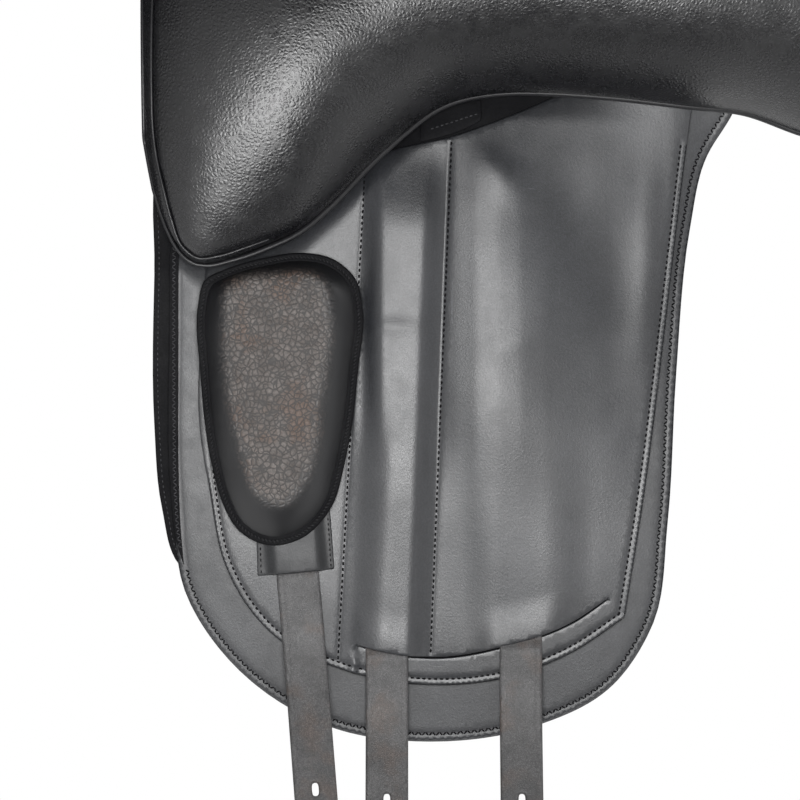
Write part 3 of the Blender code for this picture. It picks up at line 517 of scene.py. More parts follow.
class Nodes:
    """A small helper that builds one material's node tree."""

    def __init__(self, name):
        self.material = bpy.data.materials.new(name)
        self.material.use_nodes = True
        self.tree = self.material.node_tree
        self.shader = self.tree.nodes["Principled BSDF"]
        self.place = self.node("ShaderNodeTexCoord").outputs["Object"]
        MATERIALS[name] = self.material

    def node(self, kind, inputs=None, **values):
        """A new node. inputs are numbers, colours or other nodes' sockets, by the input's name or number."""
        made = self.tree.nodes.new(kind)
        for key, value in values.items():
            setattr(made, key, value)
        for key, value in (inputs or {}).items():
            if isinstance(value, bpy.types.NodeSocket):
                self.tree.links.new(value, made.inputs[key])
            else:
                made.inputs[key].default_value = value
        return made

    def surface(self, **sockets):
        """Sets or links the shader's inputs, whose names are written with _ for a space."""
        for key, value in sockets.items():
            target = self.shader.inputs[key.replace("_", " ")]
            if isinstance(value, (int, float)):
                target.default_value = value
            else:
                self.tree.links.new(value, target)

    def noise(self, scale, detail=4.0, rough=0.55, where=None, distort=0.0):
        return self.node("ShaderNodeTexNoise", {"Scale": scale, "Detail": detail, "Roughness": rough,
                                                "Distortion": distort,
                                                "Vector": where or self.place}).outputs["Fac"]

    def cells(self, scale, where):
        return self.node("ShaderNodeTexVoronoi", {"Scale": scale, "Vector": where},
                         feature="DISTANCE_TO_EDGE").outputs["Distance"]

    def bands(self, scale, direction):
        return self.node("ShaderNodeTexWave", {"Scale": scale, "Vector": self.place}, wave_type="BANDS",
                         bands_direction=direction).outputs["Fac"]

    def warped(self, scale, amount):
        """The place, pushed about by a noise, so that cells aren't regular."""
        push = self.node("ShaderNodeTexNoise", {"Scale": scale, "Detail": 2.0, "Vector": self.place})
        centred = self.node("ShaderNodeVectorMath", {0: push.outputs["Color"], 1: (0.5, 0.5, 0.5)},
                            operation="SUBTRACT")
        scaled = self.node("ShaderNodeVectorMath", {0: centred.outputs[0], "Scale": amount},
                           operation="SCALE")
        return self.node("ShaderNodeVectorMath", {0: self.place, 1: scaled.outputs[0]},
                         operation="ADD").outputs[0]

    def stretched(self, scale, turn=(0, 0, 0)):
        return self.node("ShaderNodeMapping", {"Scale": scale, "Rotation": turn,
                                               "Vector": self.place}).outputs[0]

    def ramp(self, value, low, high, out_low=0.0, out_high=1.0):
        return self.node("ShaderNodeMapRange", {"Value": value, "From Min": low, "From Max": high,
                                                "To Min": out_low,
                                                "To Max": out_high},
                         interpolation_type="SMOOTHSTEP").outputs["Result"]

    def math(self, operation, a, b):
        return self.node("ShaderNodeMath", {0: a, 1: b}, operation=operation).outputs[0]

    def mix(self, factor, a, b):
        a, b = ((*c, 1) if isinstance(c, tuple) else c for c in (a, b))
        return self.node("ShaderNodeMix", {"Factor": factor, "A": a, "B": b},
                         data_type="RGBA").outputs["Result"]

    def bump(self, height, depth, after=None):
        inputs = {"Distance": depth, "Height": height}
        return self.node("ShaderNodeBump", {**inputs, "Normal": after} if after else inputs).outputs["Normal"]


def leather(name, dark, light, rough, grain=0.0, depth=0.0, fine=0.03 * MM, patch=18.0, scuffs=0.0,
            specular=0.5,
            crease_shade=0.45, tint=None, within=None):
    """Dyed leather: mottled colour, pebbled grain whose creases are darkened with painted shade, fine pores,
    and a few scuffs.
    """
    n = Nodes(name)
    colour = n.mix(n.ramp(n.noise(patch, 6, 0.6), 0.32, 0.70), dark, light)
    if tint:
        colour = n.mix(n.ramp(n.noise(38, 3, 0.6), 0.50, 0.68, 0.0, 0.75), colour, tint)
    speck = n.ramp(n.noise(900, 2, 0.6), 0.30, 0.75, 0.72, 1.28)
    colour = n.node("ShaderNodeVectorMath", {0: colour, "Scale": speck}, operation="SCALE").outputs[0]
    roughness = n.ramp(n.noise(70, 5, 0.65), 0.3, 0.7, rough - 0.035, rough + 0.055)
    normal = None
    if grain:
        cells = n.cells(1 / grain, n.warped(0.45 / grain, 0.9 * grain))
        small = n.cells(2.3 / grain, n.warped(1.1 / grain, 0.4 * grain))
        height = n.math("ADD", n.ramp(cells, 0.0, 0.42), n.math("MULTIPLY", n.ramp(small, 0.0, 0.30), 0.12))
        roughness = n.math("ADD", roughness, n.ramp(cells, 0.02, 0.15, 0.06, 0.0))
        if within:
            height = n.math("MULTIPLY", height, n.node("ShaderNodeAttribute",
                                                       attribute_name=within).outputs["Fac"])
        normal = n.bump(height, depth)
        # painted shade: the colour darkens in the grain's creases, as if they lay in shade
        colour = n.mix(n.ramp(cells, 0.02, 0.17, crease_shade, 0.0), colour, tuple(c * 0.25 for c in dark))
    normal = n.bump(n.noise(800, 4, 0.7), fine, normal)
    if scuffs:
        streaks = [n.ramp(n.noise(1.0, 3, 0.6, n.stretched(scale, turn)), 0.70, 0.74)
                   for scale, turn in (((30, 30, 900), (0.4, 0.3, 0.2)), ((700, 25, 25), (0.2, 0.5, 0.5)))]
        marks = n.math("MULTIPLY", n.math("MAXIMUM", *streaks), n.ramp(n.noise(22, 2), 0.50, 0.66))
        colour = n.mix(n.math("MULTIPLY", marks, scuffs), colour, tuple(min(1, c * 4) for c in light))
    n.surface(Base_Color=colour, Roughness=roughness, Normal=normal, Specular_IOR_Level=specular)
    return n


def make_materials():
    black = (0.010, 0.010, 0.011)
    leather("panel_leather", (0.004, 0.004, 0.005), (0.008, 0.008, 0.009), 0.26, 2.4 * MM, 0.09 * MM,
            crease_shade=0.8)
    leather("seat_leather", black, (0.017, 0.017, 0.018), 0.40, 1.5 * MM, 0.12 * MM)
    leather("block_leather", black, (0.016, 0.016, 0.018), 0.40, 1.8 * MM, 0.15 * MM)
    leather("skirt_leather", black, (0.018, 0.018, 0.020), 0.40, 1.2 * MM, 0.06 * MM)
    leather("flap_leather", (0.016, 0.0168, 0.019), (0.030, 0.0313, 0.035), 0.40, fine=0.10 * MM, scuffs=0.4,
            specular=0.60)
    leather("lining_leather", (0.014, 0.0148, 0.017), (0.027, 0.0283, 0.032), 0.325, fine=0.10 * MM,
            patch=12.0,
            scuffs=0.6, specular=0.65)
    leather("keeper_leather", (0.013, 0.0136, 0.015), (0.024, 0.0252, 0.028), 0.42, fine=0.10 * MM,
            specular=0.45)
    leather("black_smooth", (0.005, 0.005, 0.006), (0.010, 0.010, 0.011), 0.36, specular=0.3)
    # black_matte also colours the sheets of painted shade above the lining and behind the slit
    leather("black_matte", (0.004, 0.004, 0.005), (0.009, 0.009, 0.010), 0.70, fine=0.04 * MM, specular=0.12)
    leather("strap_leather", (0.062, 0.061, 0.062), (0.098, 0.096, 0.097), 0.46, 1.1 * MM, 0.08 * MM,
            patch=60.0,
            crease_shade=0.40, tint=(0.095, 0.074, 0.064))
    pad = leather("pad_top", (0.066, 0.056, 0.051), (0.124, 0.109, 0.101), 0.52, 3.2 * MM, 0.34 * MM,
                  patch=90.0,
                  crease_shade=0.95, tint=(0.105, 0.066, 0.048), within="plateau")
    plain_round_plateau(pad, (0.009, 0.009, 0.010))
    for name, dark, light in (("black", (0.002, 0.002, 0.003), (0.006, 0.006, 0.007)),
                              ("dim", (0.010, 0.010, 0.011), (0.026, 0.026, 0.028)),
                              ("grey", (0.030, 0.030, 0.032), (0.060, 0.060, 0.064))):
        woven("thread_" + name, lambda n: n.noise(1500, 2), (0.35, 0.65), dark, light, 0.06 * MM, 0.75, 0.15)
    woven("foam", lambda n: n.noise(900, 8, 0.7, distort=1.5), (0.3, 0.7), (0.70, 0.62, 0.36),
          (0.84, 0.78, 0.52),
          0.25 * MM, 0.95)
    for name, dark, light in (("web", (0.45, 0.43, 0.38), (0.80, 0.78, 0.72)),
                              ("web_black", (0.008, 0.008, 0.009), (0.030, 0.030, 0.033))):
        woven(name, lambda n: n.math("MULTIPLY", n.bands(330, "X"), n.bands(420, "Z")), (0.1, 0.8), dark,
              light,
              0.25 * MM, 0.9)
    metal("steel_bright", 0.16)
    metal("steel_forged", 0.36)
    lacquered_wood()
    floor = Nodes("floor_pale")
    floor.surface(Base_Color=floor.mix(floor.ramp(floor.noise(3, 3), 0.3, 0.7), (0.80,) * 3, (0.84,) * 3),
                  Roughness=0.85)


def plain_round_plateau(n, outer):
    """Turns the pad's leather smooth and near black outside its plateau."""
    mask = n.node("ShaderNodeAttribute", attribute_name="plateau").outputs["Fac"]
    ragged = n.math("ADD", mask, n.ramp(n.noise(330, 3), 0.3, 0.7, -0.10, 0.10))
    soft = n.ramp(ragged, 0.15, 0.85)
    # the pad's lighter brown-grey colour inside the plateau, near black outside it, blended softly
    plateau_colour = n.shader.inputs["Base Color"].links[0].from_socket
    n.surface(Base_Color=n.mix(soft, outer, plateau_colour), Roughness=n.math("ADD", n.math("MULTIPLY", soft, 0.18),
                                                                    0.38))


def woven(name, pattern, spread, dark, light, depth, rough, specular=0.5):
    """Thread, foam or webbing: one pattern gives both its colour and its relief."""
    n = Nodes(name)
    made = pattern(n)
    n.surface(Base_Color=n.mix(n.ramp(made, *spread), dark, light), Normal=n.bump(made, depth),
              Roughness=rough,
              Specular_IOR_Level=specular)


def metal(name, rough):
    n = Nodes(name)
    n.surface(Base_Color=n.mix(n.ramp(n.noise(90, 5), 0.35, 0.7), (0.50, 0.50, 0.51), (0.66, 0.66, 0.68)),
              Roughness=n.ramp(n.noise(300, 4), 0.3, 0.7, rough - 0.05, rough + 0.12),
              Normal=n.bump(n.noise(900, 3), 0.02 * MM), Metallic=1.0)


def lacquered_wood():
    n = Nodes("beech")
    grain = n.noise(1.0, 5, 0.6, n.stretched((9, 160, 160)))
    base = n.mix(n.ramp(grain, 0.3, 0.7), (0.012, 0.010, 0.009), (0.030, 0.024, 0.020))
    plies = n.ramp(n.bands(160, "Z"), 0.2, 0.8, 0.0, 0.25)
    n.surface(Base_Color=n.mix(plies, base, (0.045, 0.032, 0.022)), Normal=n.bump(grain, 0.12 * MM),
              Roughness=n.ramp(grain, 0.3, 0.7, 0.45, 0.6))


# ---------------------------------------------------------------- camera, light and floor


def make_light(name, where, at, size, watts, blockers=None, receivers=None):
    data = bpy.data.lights.new(name, "AREA")
    data.shape = "RECTANGLE"
    data.size, data.size_y = size
    data.energy = watts
    obj = bpy.data.objects.new(name, data)
    bpy.context.scene.collection.objects.link(obj)
    obj.location = where
    obj.rotation_euler = (Vector(at) - Vector(where)).to_track_quat("-Z", "Y").to_euler()
    obj.visible_camera = False
    if blockers:
        obj.light_linking.blocker_collection = blockers
        obj.light_linking.receiver_collection = receivers


def make_world():
    """White where the camera sees it, and nearly dark for all that it lights."""
    world = bpy.context.scene.world = bpy.data.worlds.new("studio")
    world.use_nodes = True
    tree = world.node_tree
    seen = tree.nodes["Background"]
    seen.inputs["Color"].default_value = (1, 1, 1, 1)
    seen.inputs["Strength"].default_value = 1.0
    lit = tree.nodes.new("ShaderNodeBackground")
    lit.inputs["Color"].default_value = (0.95, 0.97, 1.0, 1)
    lit.inputs["Strength"].default_value = 0.05
    choose = tree.nodes.new("ShaderNodeMixShader")
    path = tree.nodes.new("ShaderNodeLightPath")
    for source, target in ((path.outputs["Is Camera Ray"], choose.inputs[0]),
                           (lit.outputs[0], choose.inputs[1]),
                           (seen.outputs[0], choose.inputs[2]),
                           (choose.outputs[0], tree.nodes["World Output"].inputs[0])):
        tree.links.new(source, target)


def make_stage():
    scene = bpy.context.scene
    middle = across_y(point(0.082, 0.1752, 0.0))  # of what the camera sees, on the right flap
    back = Vector((0, COS, -SIN))  # away from the right flap's horse side, square to it
    up_flap = Vector((0, SIN, COS))
    forward = Vector((1, 0, 0))
    far, wide = 2.5, 0.48  # the camera's distance, and how much of the flap's plane it takes in
    camera = bpy.data.objects.new("camera", bpy.data.cameras.new("camera"))
    scene.collection.objects.link(camera)
    camera.location = middle + back * far
    camera.rotation_euler = (-back).to_track_quat("-Z", "Y").to_euler()
    camera.data.sensor_width = 36
    camera.data.lens = 36 * far / wide
    camera.data.clip_start = far - 0.140  # leaves out the near half of the saddle, as the photograph does
    camera.data.clip_end = 20
    scene.camera = camera
    scene.view_settings.view_transform = "Standard"

    half = 6
    corners = [(-half, -half, 0), (half, -half, 0), (half, half, 0), (-half, half, 0)]
    floor = new_object("floor", mesh_of("floor", corners, [(0, 1, 2, 3)]), "floor_pale")
    floor.location.z = CAD_BOX[0][2] - 4 * MM
    floor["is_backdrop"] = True
    FLOOR_ONLY.objects.link(floor)
    sun = bpy.data.objects.new("floor_sun", bpy.data.lights.new("floor_sun", "SUN"))
    sun.data.energy = 2.2
    scene.collection.objects.link(sun)
    sun.light_linking.receiver_collection = FLOOR_ONLY

    make_world()
    make_light("flap_light", middle + back * 0.95 + forward * 0.03 + up_flap * 0.05, middle, (0.30, 0.30),
               7.2,
               FAR_ONLY, FLAP_SIDE)
    low = Vector((0.150, -0.085, -0.060))  # on the panel, at the front
    make_light("panel_light", low + (back * 0.83 + forward * 0.12 - up_flap * 0.545) * 1.2, low,
               (0.38, 0.30), 20,
               FAR_ONLY, PANEL_SIDE)
    make_light("top", (0.1, 0.9, 1.6), (0, 0, 0), (1.6, 1.6), 34)
    make_light("top_right", (0.2, -1.3, 1.2), (0, 0, -0.1), (1.4, 1.4), 22)
    make_light("rear", (-1.7, 0.5, 0.7), (0, 0, 0), (1.2, 1.2), 14)


# ---------------------------------------------------------------- shared shapes

FLAP_FRONT = mm((218.5, -20), (219, 120), (218, 235), (211, 290))
FLAP_LOW = mm((178, 338), (124, 371.5), (64, 380.4), (4, 372), (-44, 348), (-70, 309))
FLAP_REAR = mm((-78.5, 250), (-84, 160), (-93, 70), (-102, 30), (-118, 3), (-134, -40))
FLAP_TOP = [(-0.1380, HINGE_T, "corner"), (0.058, HINGE_T, "corner"), (0.066, -0.087, "corner"),
            (0.173, -0.087, "corner"), (0.1775, HINGE_T, "corner"), (0.1790, -0.176, "corner"),
            (0.2050, -0.190, "corner"), (0.2085, HINGE_T, "corner"), (0.2135, -0.108, "corner")]
LINING_LOW = mm(
    (196, 229), (186, 275.4), (173.2, 298.8), (153.4, 319.5), (122.8, 334.5), (64, 345.9), (23.4, 342.6),
    (-21.2, 326.2), (-52.4, 305.4, "corner"))
LINING_OUTLINE = [(0.1950, 0.062, "corner"), (0.2000, 0.120), (0.2020, 0.190), *LINING_LOW,
                  (-0.0638, 0.2340),
                  (-0.0758, 0.1422), (-0.0842, 0.0720), (-0.0920, 0.0072), (-0.0960, -0.022, "corner"),
                  (-0.0300, -0.014), (0.0136, 0.0042), (0.0502, 0.0174), (0.0832, 0.0246), (0.1200, 0.036)]
SLIT = mm((108.2, 321.8), (85, 327.2), (58, 329.1), (22, 323.1), (-21.2, 308.1), (-42, 294.4))
SEAM_A = mm((103, 36), (103.6, 49.2), (119.2, 331.2))
SEAM_B = mm((51.2, 20), (63.7, 327.2))
PAD_OUTLINE = mm(
    (199, 104), (202.6, 118), (201.4, 158.2), (194.2, 214.8), (188.4, 235.8), (178, 253.5), (158.8, 262.2),
    (140, 257.5), (123.4, 240), (114.8, 212), (106.8, 155), (104.2, 121.2), (108.5, 103), (122, 91),
    (141.4, 87.2), (162, 90), (185, 96.5))
PLATEAU = mm(
    (184, 106), (185, 118), (182.5, 175.2), (174.8, 208.2), (165.5, 231), (151, 236.2), (139.5, 223.2),
    (130, 175.2), (125.5, 120), (129, 104), (156, 100))
LINING_REAR = mm((-52.4, 305.4), (-63.8, 234), (-75.8, 142.2), (-84.2, 72), (-90, 22))
# the sheet above the lining: partly real black leather, partly painted shade under the panel
FACING_AND_SHADE_OUTLINE = mm(
    (125, 44, "corner"), (83.2, 32), (50.2, 24), (13.6, 10), (-30, -6), (-90, -12, "corner"),
    (-90, -55, "corner"), (125, -55, "corner"))
TAB_OUTLINE = mm(
    (70, 20.5, "corner"), (56, 17.5), (40, 11.5), (33, 7.5, "corner"), (33.5, -6, "corner"),
    (70, 4, "corner"))
TAB_SEAM = mm((64, 13), (35, 3.5))
WRAP_OUTLINE = mm(
    (214.6, 30, "corner"), (214.8, 150), (214.6, 220), (213.6, 250), (211.4, 275, "corner"), (216, 260),
    (219, 235), (220, 120), (219.6, 30, "corner"))
WRAP_SEAM = mm((217.4, 50), (217.6, 150), (217.2, 220), (215.5, 250), (213.8, 264))
WRAP_END_T = 0.276  # where the flap's own edge seam comes out from under the wrap
KEEPER_OUTLINE = mm(
    (168, 252, "corner"), (159, 254.5), (145.5, 253.5), (133, 246), (124.4, 235, "corner"),
    (121.2, 276.4, "corner"), (167.2, 280.6, "corner"))
KEEPER_SEAMS = [mm((165.5, 262.5), (165, 279.5)), mm((125.2, 245), (123.2, 275.5))]
BLOCK_OUTLINE = mm(
    (213, 0), (227, 30), (229.6, 100), (229.6, 190), (225, 240), (214, 275), (202, 284), (185, 262),
    (164, 200), (156, 110), (164, 30), (185, 0))


def middle_web_x(t):
    """The two seam lines of the strap tunnel at t."""
    return np.interp(t, [0.0492, 0.3312], [0.1036, 0.1192]), np.interp(t, [0.0186, 0.3282], [0.0514, 0.0637])


def hump(x, middle, flat, left, right):
    """1 within flat of the middle, falling softly to 0 over left towards +X and right towards -X."""
    return step(0, 1, 1 - (x - middle - flat) / left) * step(0, 1, 1 - (middle - flat - x) / right)


def lining_rise(x, t):
    """How far the lining stands towards the horse over the straps inside it, with its soft dents."""
    front_seam, rear_seam = middle_web_x(t)
    above = slit_t(x) - t
    low = step(0.17, 0.27, t)
    lip = step(26 * MM, 2 * MM, above)
    narrow = step(0.1045, 0.0925, x)
    broad = step(0, 28 * MM, front_seam - x)
    crest = step(1.0 * MM, 14.5 * MM, x - rear_seam) * (narrow + (broad - narrow) * step(0.165, 0.215, t))
    tunnel = np.where((x < front_seam) & (x > rear_seam), crest, 0) * step(0.020, 0.075, t)
    low_swell = 0.45 * hump(x, REAR_STRAP_X, 13.6 * MM, 24 * MM, 30 * MM)
    swell = np.interp(x, REAR_X, REAR_HIGH) * (1 - low) + low_swell * low
    rear = np.where(x < rear_seam, swell, 0) * step(-0.004, 0.060, t)
    heads = (hump(x, MIDDLE_STRAP_X, 13.0 * MM, 14 * MM, 12 * MM)
             + hump(x, REAR_STRAP_X, 13.0 * MM, 16 * MM, 18 * MM))
    rise = 5.6 * MM * tunnel + 5.0 * MM * rear + 1.3 * MM * lip * heads
    fold = 0.7 * MM * bell(t, 0.1315, 0.0045) * bell(x, 0.0850, 0.012)
    diagonal = 1.5 * MM * bell(t + 0.62 * (x - 0.0215), 0.0400, 0.013) * bell(x, 0.0250, 0.016)
    dents = (-2.4 * MM * bell(x, -0.0150, 0.022) * bell(t, 0.050, 0.026)
             - 1.6 * MM * bell(x, -0.0420, 0.022) * bell(t, 0.100, 0.040))
    edge = 1.8 * MM * bell(x, -0.070, 0.012) * bell(t, 0.120, 0.060)
    bend = 0.7 * MM * bell(t - 0.35 * x, 0.136, 0.010) * bell(x, 0.010, 0.022)
    slack = 0.40 * MM * np.sin(x * 61 + t * 31 + 1.0) * np.sin(t * 47 - x * 23)
    taper = step(0.0, 24 * MM, edge_room(x, t))
    return np.where(above > -0.3 * MM, rise, 0) + (fold + diagonal + dents + edge + bend + slack) * taper


REAR_X = np.array([-0.075, -0.060, -0.045, -0.025, -0.005, 0.010, 0.024, 0.036, 0.048, 0.057, 0.061])
REAR_HIGH = np.array([0.0, 0.05, 0.20, 0.48, 0.80, 0.97, 1.0, 0.88, 0.50, 0.12, 0.0])


def slit_t(x):
    return np.interp(-x, -SLIT_LINE[:, 0], SLIT_LINE[:, 1], left=9.0, right=9.0)


def edge_room(x, t):
    """Rough distance from the lining's edge and seams, so that its waves die out there."""
    right = np.interp(t, [0.007, 0.072, 0.142, 0.234, 0.305], [-0.092, -0.0842, -0.0758, -0.0638, -0.0524])
    return np.clip(np.minimum(x - right, 0.345 - t), 0, 1)


# ---------------------------------------------------------------- flap pieces


def make_flap():
    outline = rounded([*FLAP_FRONT, *FLAP_LOW, *FLAP_REAR, *FLAP_TOP])
    seam = inner(rounded([*FLAP_FRONT, *FLAP_LOW, *FLAP_REAR[:5]], 8, closed=False), outline, 4.8 * MM)

    def groove(x, t):
        return grooves(x, t, [seam], 1.5 * MM, 0.35 * MM)

    flap = plate("flap_leather_left", outline, lambda x, t, d: FLAP_IN + groove(x, t),
                 lambda x, t, d: FLAP_OUT - groove(x, t), "flap_leather", pitch=4.5 * MM, edge=1.5 * MM,
                 lines=[(seam, 1.3 * MM)])
    both(flap, "", ["flap_left", "flap_head_left"],
         blend=("saddle", FLAP_GROUP, point(0, HINGE_T - 8 * MM, 0), point(0, HINGE_T + 12 * MM, 0)))
    start = int(np.argmax(seam[:, 1] > WRAP_END_T))
    sew("flap_edge_stitches", seam[start:], FLAP_IN + 0.25 * MM, pitch=2.1 * MM, thick=0.95 * MM,
        zigzag=2.4 * MM)
    sew("flap_outer_stitches", seam, FLAP_OUT - 0.25 * MM, pitch=2.9 * MM, thick=0.75 * MM, outward=True)


def make_facings():
    """Black leather on the flap's horse side: above the lining, behind the slit, and round the front edge.
    The sheet above the lining is partly real black leather and partly painted shade under the panel; the
    sheet behind the slit is painted shade inside the slit.
    """
    against_flap = FLAP_IN - 0.02 * MM
    thin = FLAP_IN - 0.30 * MM
    # painted shade: near-black matte sheet above the lining, partly real black leather, darkened to stand for
    # the shade under the panel
    cut("flap_facing", rounded(FACING_AND_SHADE_OUTLINE), thin, against_flap, "black_matte", pitch=5 * MM,
        edge=0.3 * MM)
    # painted shade: a near-black sheet behind the slit, which stands for the shade inside it
    reach = np.array([0, 6 * MM])
    cut("slit_shade_sheet", np.vstack([SLIT_LINE - reach, (SLIT_LINE + reach)[::-1]]), thin, against_flap,
        "black_matte",
        pitch=5 * MM, edge=0.3 * MM)
    cut("flap_tab", rounded(TAB_OUTLINE), LINING_OUT + 0.9 * MM, LINING_OUT + 2.2 * MM, "black_matte",
        pitch=3 * MM,
        edge=0.5 * MM)
    sew("flap_tab_stitches", TAB_SEAM, LINING_OUT + 0.8 * MM, "thread_grey", BLACK, pitch=3.2 * MM,
        thick=0.8 * MM)
    cut("block_edge_wrap", rounded(WRAP_OUTLINE), FLAP_IN - 0.6 * MM, against_flap, "black_matte",
        pitch=2 * MM,
        edge=0.5 * MM)
    sew("block_wrap_stitches", WRAP_SEAM, FLAP_IN - 0.55 * MM, "thread_grey", BLACK, pitch=1.9 * MM,
        zigzag=2.6 * MM)


def make_lining():
    outline = rounded(LINING_OUTLINE)
    upper = resampled(SLIT_LINE, 1.2 * MM, closed=False)
    across = sideways(upper, False)
    width = 0.8 * MM * np.sin(np.pi * np.linspace(0, 1, len(upper))) ** 0.4
    lower = upper + across * np.sign(across[:, 1:2]) * width[:, None]
    hole = np.vstack([upper, lower[1:-1][::-1]])
    seams = [inner(rounded(path, 8, closed=False), outline, 3.6 * MM)
             for path in ([(0.1990, 0.150), *LINING_LOW], LINING_REAR)]
    seams += [resampled(np.array(s), 2 * MM, closed=False) for s in (SEAM_A, SEAM_B)]

    def groove(x, t):
        return grooves(x, t, seams, 1.4 * MM, 0.50 * MM)

    def rise(x, t):
        """The upper lip of the slit lies over the straps; the lower lip lies under them."""
        return np.where(t > slit_t(x) + 0.3 * MM, 0, lining_rise(x, t))

    cut("flap_lining_leather", outline, lambda x, t, d: LINING_IN - rise(x, t) + groove(x, t),
        lambda x, t, d: LINING_OUT - rise(x, t) - 0.2 * groove(x, t), "lining_leather", SMOOTH,
        ["flap_lining_left"],
        pitch=3.2 * MM, edge=0.7 * MM, holes=[hole], lines=[(s, 1.2 * MM) for s in seams])
    for number, line in enumerate(seams):
        sew(f"lining_stitches_{number}", line, lambda x, t: LINING_IN - lining_rise(x, t) + 0.55 * MM,
            share=0.74,
            thick=1.15 * MM)


def make_pad():
    outline = rounded(PAD_OUTLINE)
    plateau = rounded(PLATEAU)
    rim_top = PAD_OUT - 2.6 * MM
    seam = inner_loop(outline, 2.6 * MM)
    cut("point_pad_rim", outline, lambda x, t, d: rim_top + grooves(x, t, [seam], 0.9 * MM, 0.7 * MM),
        PAD_OUT,
        "black_matte", PAD, pitch=3 * MM, edge=1.2 * MM, lines=[(seam, 0.9 * MM)])

    def height(x, t, d):
        spots = np.stack([x, t], 1)
        away = np.where(inside(spots, plateau), 0, distance(spots, plateau))
        share = d / np.maximum(d + away, 1e-6)
        return rim_top + 0.6 * MM - 13.0 * MM * np.sin(share * math.pi / 2) ** 0.9

    line = inset(resampled(outline, 3 * MM), 4.6 * MM)
    body = plate("point_pad_left_body", line, height, rim_top + 0.8 * MM, None, pitch=3.4 * MM,
                 edge=1.0 * MM)
    body = inflate(body, "point_pad_cushion_left", "pad_top", 2.5, 3 * MM, on_line(line, rim_top), 3 * MM)
    paint_plateau(body, plateau)
    both(body, FLAP_GROUP, ["point_pad_left"])
    sew("point_pad_stitches", seam, rim_top + 0.5 * MM, "thread_dim", PAD, pitch=2.3 * MM, thick=1.0 * MM,
        slant=2.0 * MM)


def paint_plateau(obj, plateau):
    """Marks how far each vertex lies inside the plateau, for the pad's two leathers to meet softly."""
    co = np.array([v.co[:] for v in obj.data.vertices])
    t = (co[:, 1] - LINE_Y) * SIN - (co[:, 2] - LINE_Z) * COS
    spots = np.stack([co[:, 0], t], 1)
    gap = distance(spots, plateau) * np.where(inside(spots, plateau), 1, -1)
    attribute = obj.data.attributes.new("plateau", "FLOAT", "POINT")
    attribute.data.foreach_set("value", np.clip(0.5 + gap / PLATEAU_BLUR, 0, 1).astype(np.float32))


def make_keeper():
    x0, t0, lean = STRAPS["front_strap"][:3]

    def rise(x, t):
        u = x - (x0 + lean * (t - t0))
        side = step(12.2 * MM, 18.7 * MM, np.abs(u))
        return 3.6 * MM * (1 - side) + 0.5 * MM * np.cos(u * 160) * step(0.255, 0.28, t)

    base = LINING_IN - 0.3 * MM
    cut("strap_keeper_leather", rounded(KEEPER_OUTLINE), lambda x, t, d: base - LEATHER - rise(x, t),
        lambda x, t, d: base - rise(x, t), "keeper_leather", SMOOTH, ["strap_keeper_left"], pitch=1.8 * MM,
        edge=0.6 * MM)
    for number, line in enumerate(KEEPER_SEAMS):
        sew(f"keeper_stitches_{number}", line, lambda x, t: base - LEATHER - rise(x, t) + 0.1 * MM,
            pitch=3.2 * MM,
            thick=0.75 * MM)


STRAPS = {  # name: (x of its middle, t of its joint, lean of its foot, straight length, whole length)
    "front_strap": (0.1430, 0.2815, -0.0903, 0.020, 0.327),
    "middle_strap": (0.0898, 0.3300, 0.0, 0.012, 0.2825),
    "rear_strap": (0.0097, 0.3258, 0.0, 0.012, 0.287),
}
MIDDLE_STRAP_X, REAR_STRAP_X = STRAPS["middle_strap"][0], STRAPS["rear_strap"][0]
STRAP_BEND, STRAP_TURN = 0.115, math.radians(25)  # how a strap turns from the flap's plane to hang
FIRST_HOLE, HOLE_PITCH, HOLES = 46 * MM, 25 * MM, 7  # the first is measured from the strap's foot


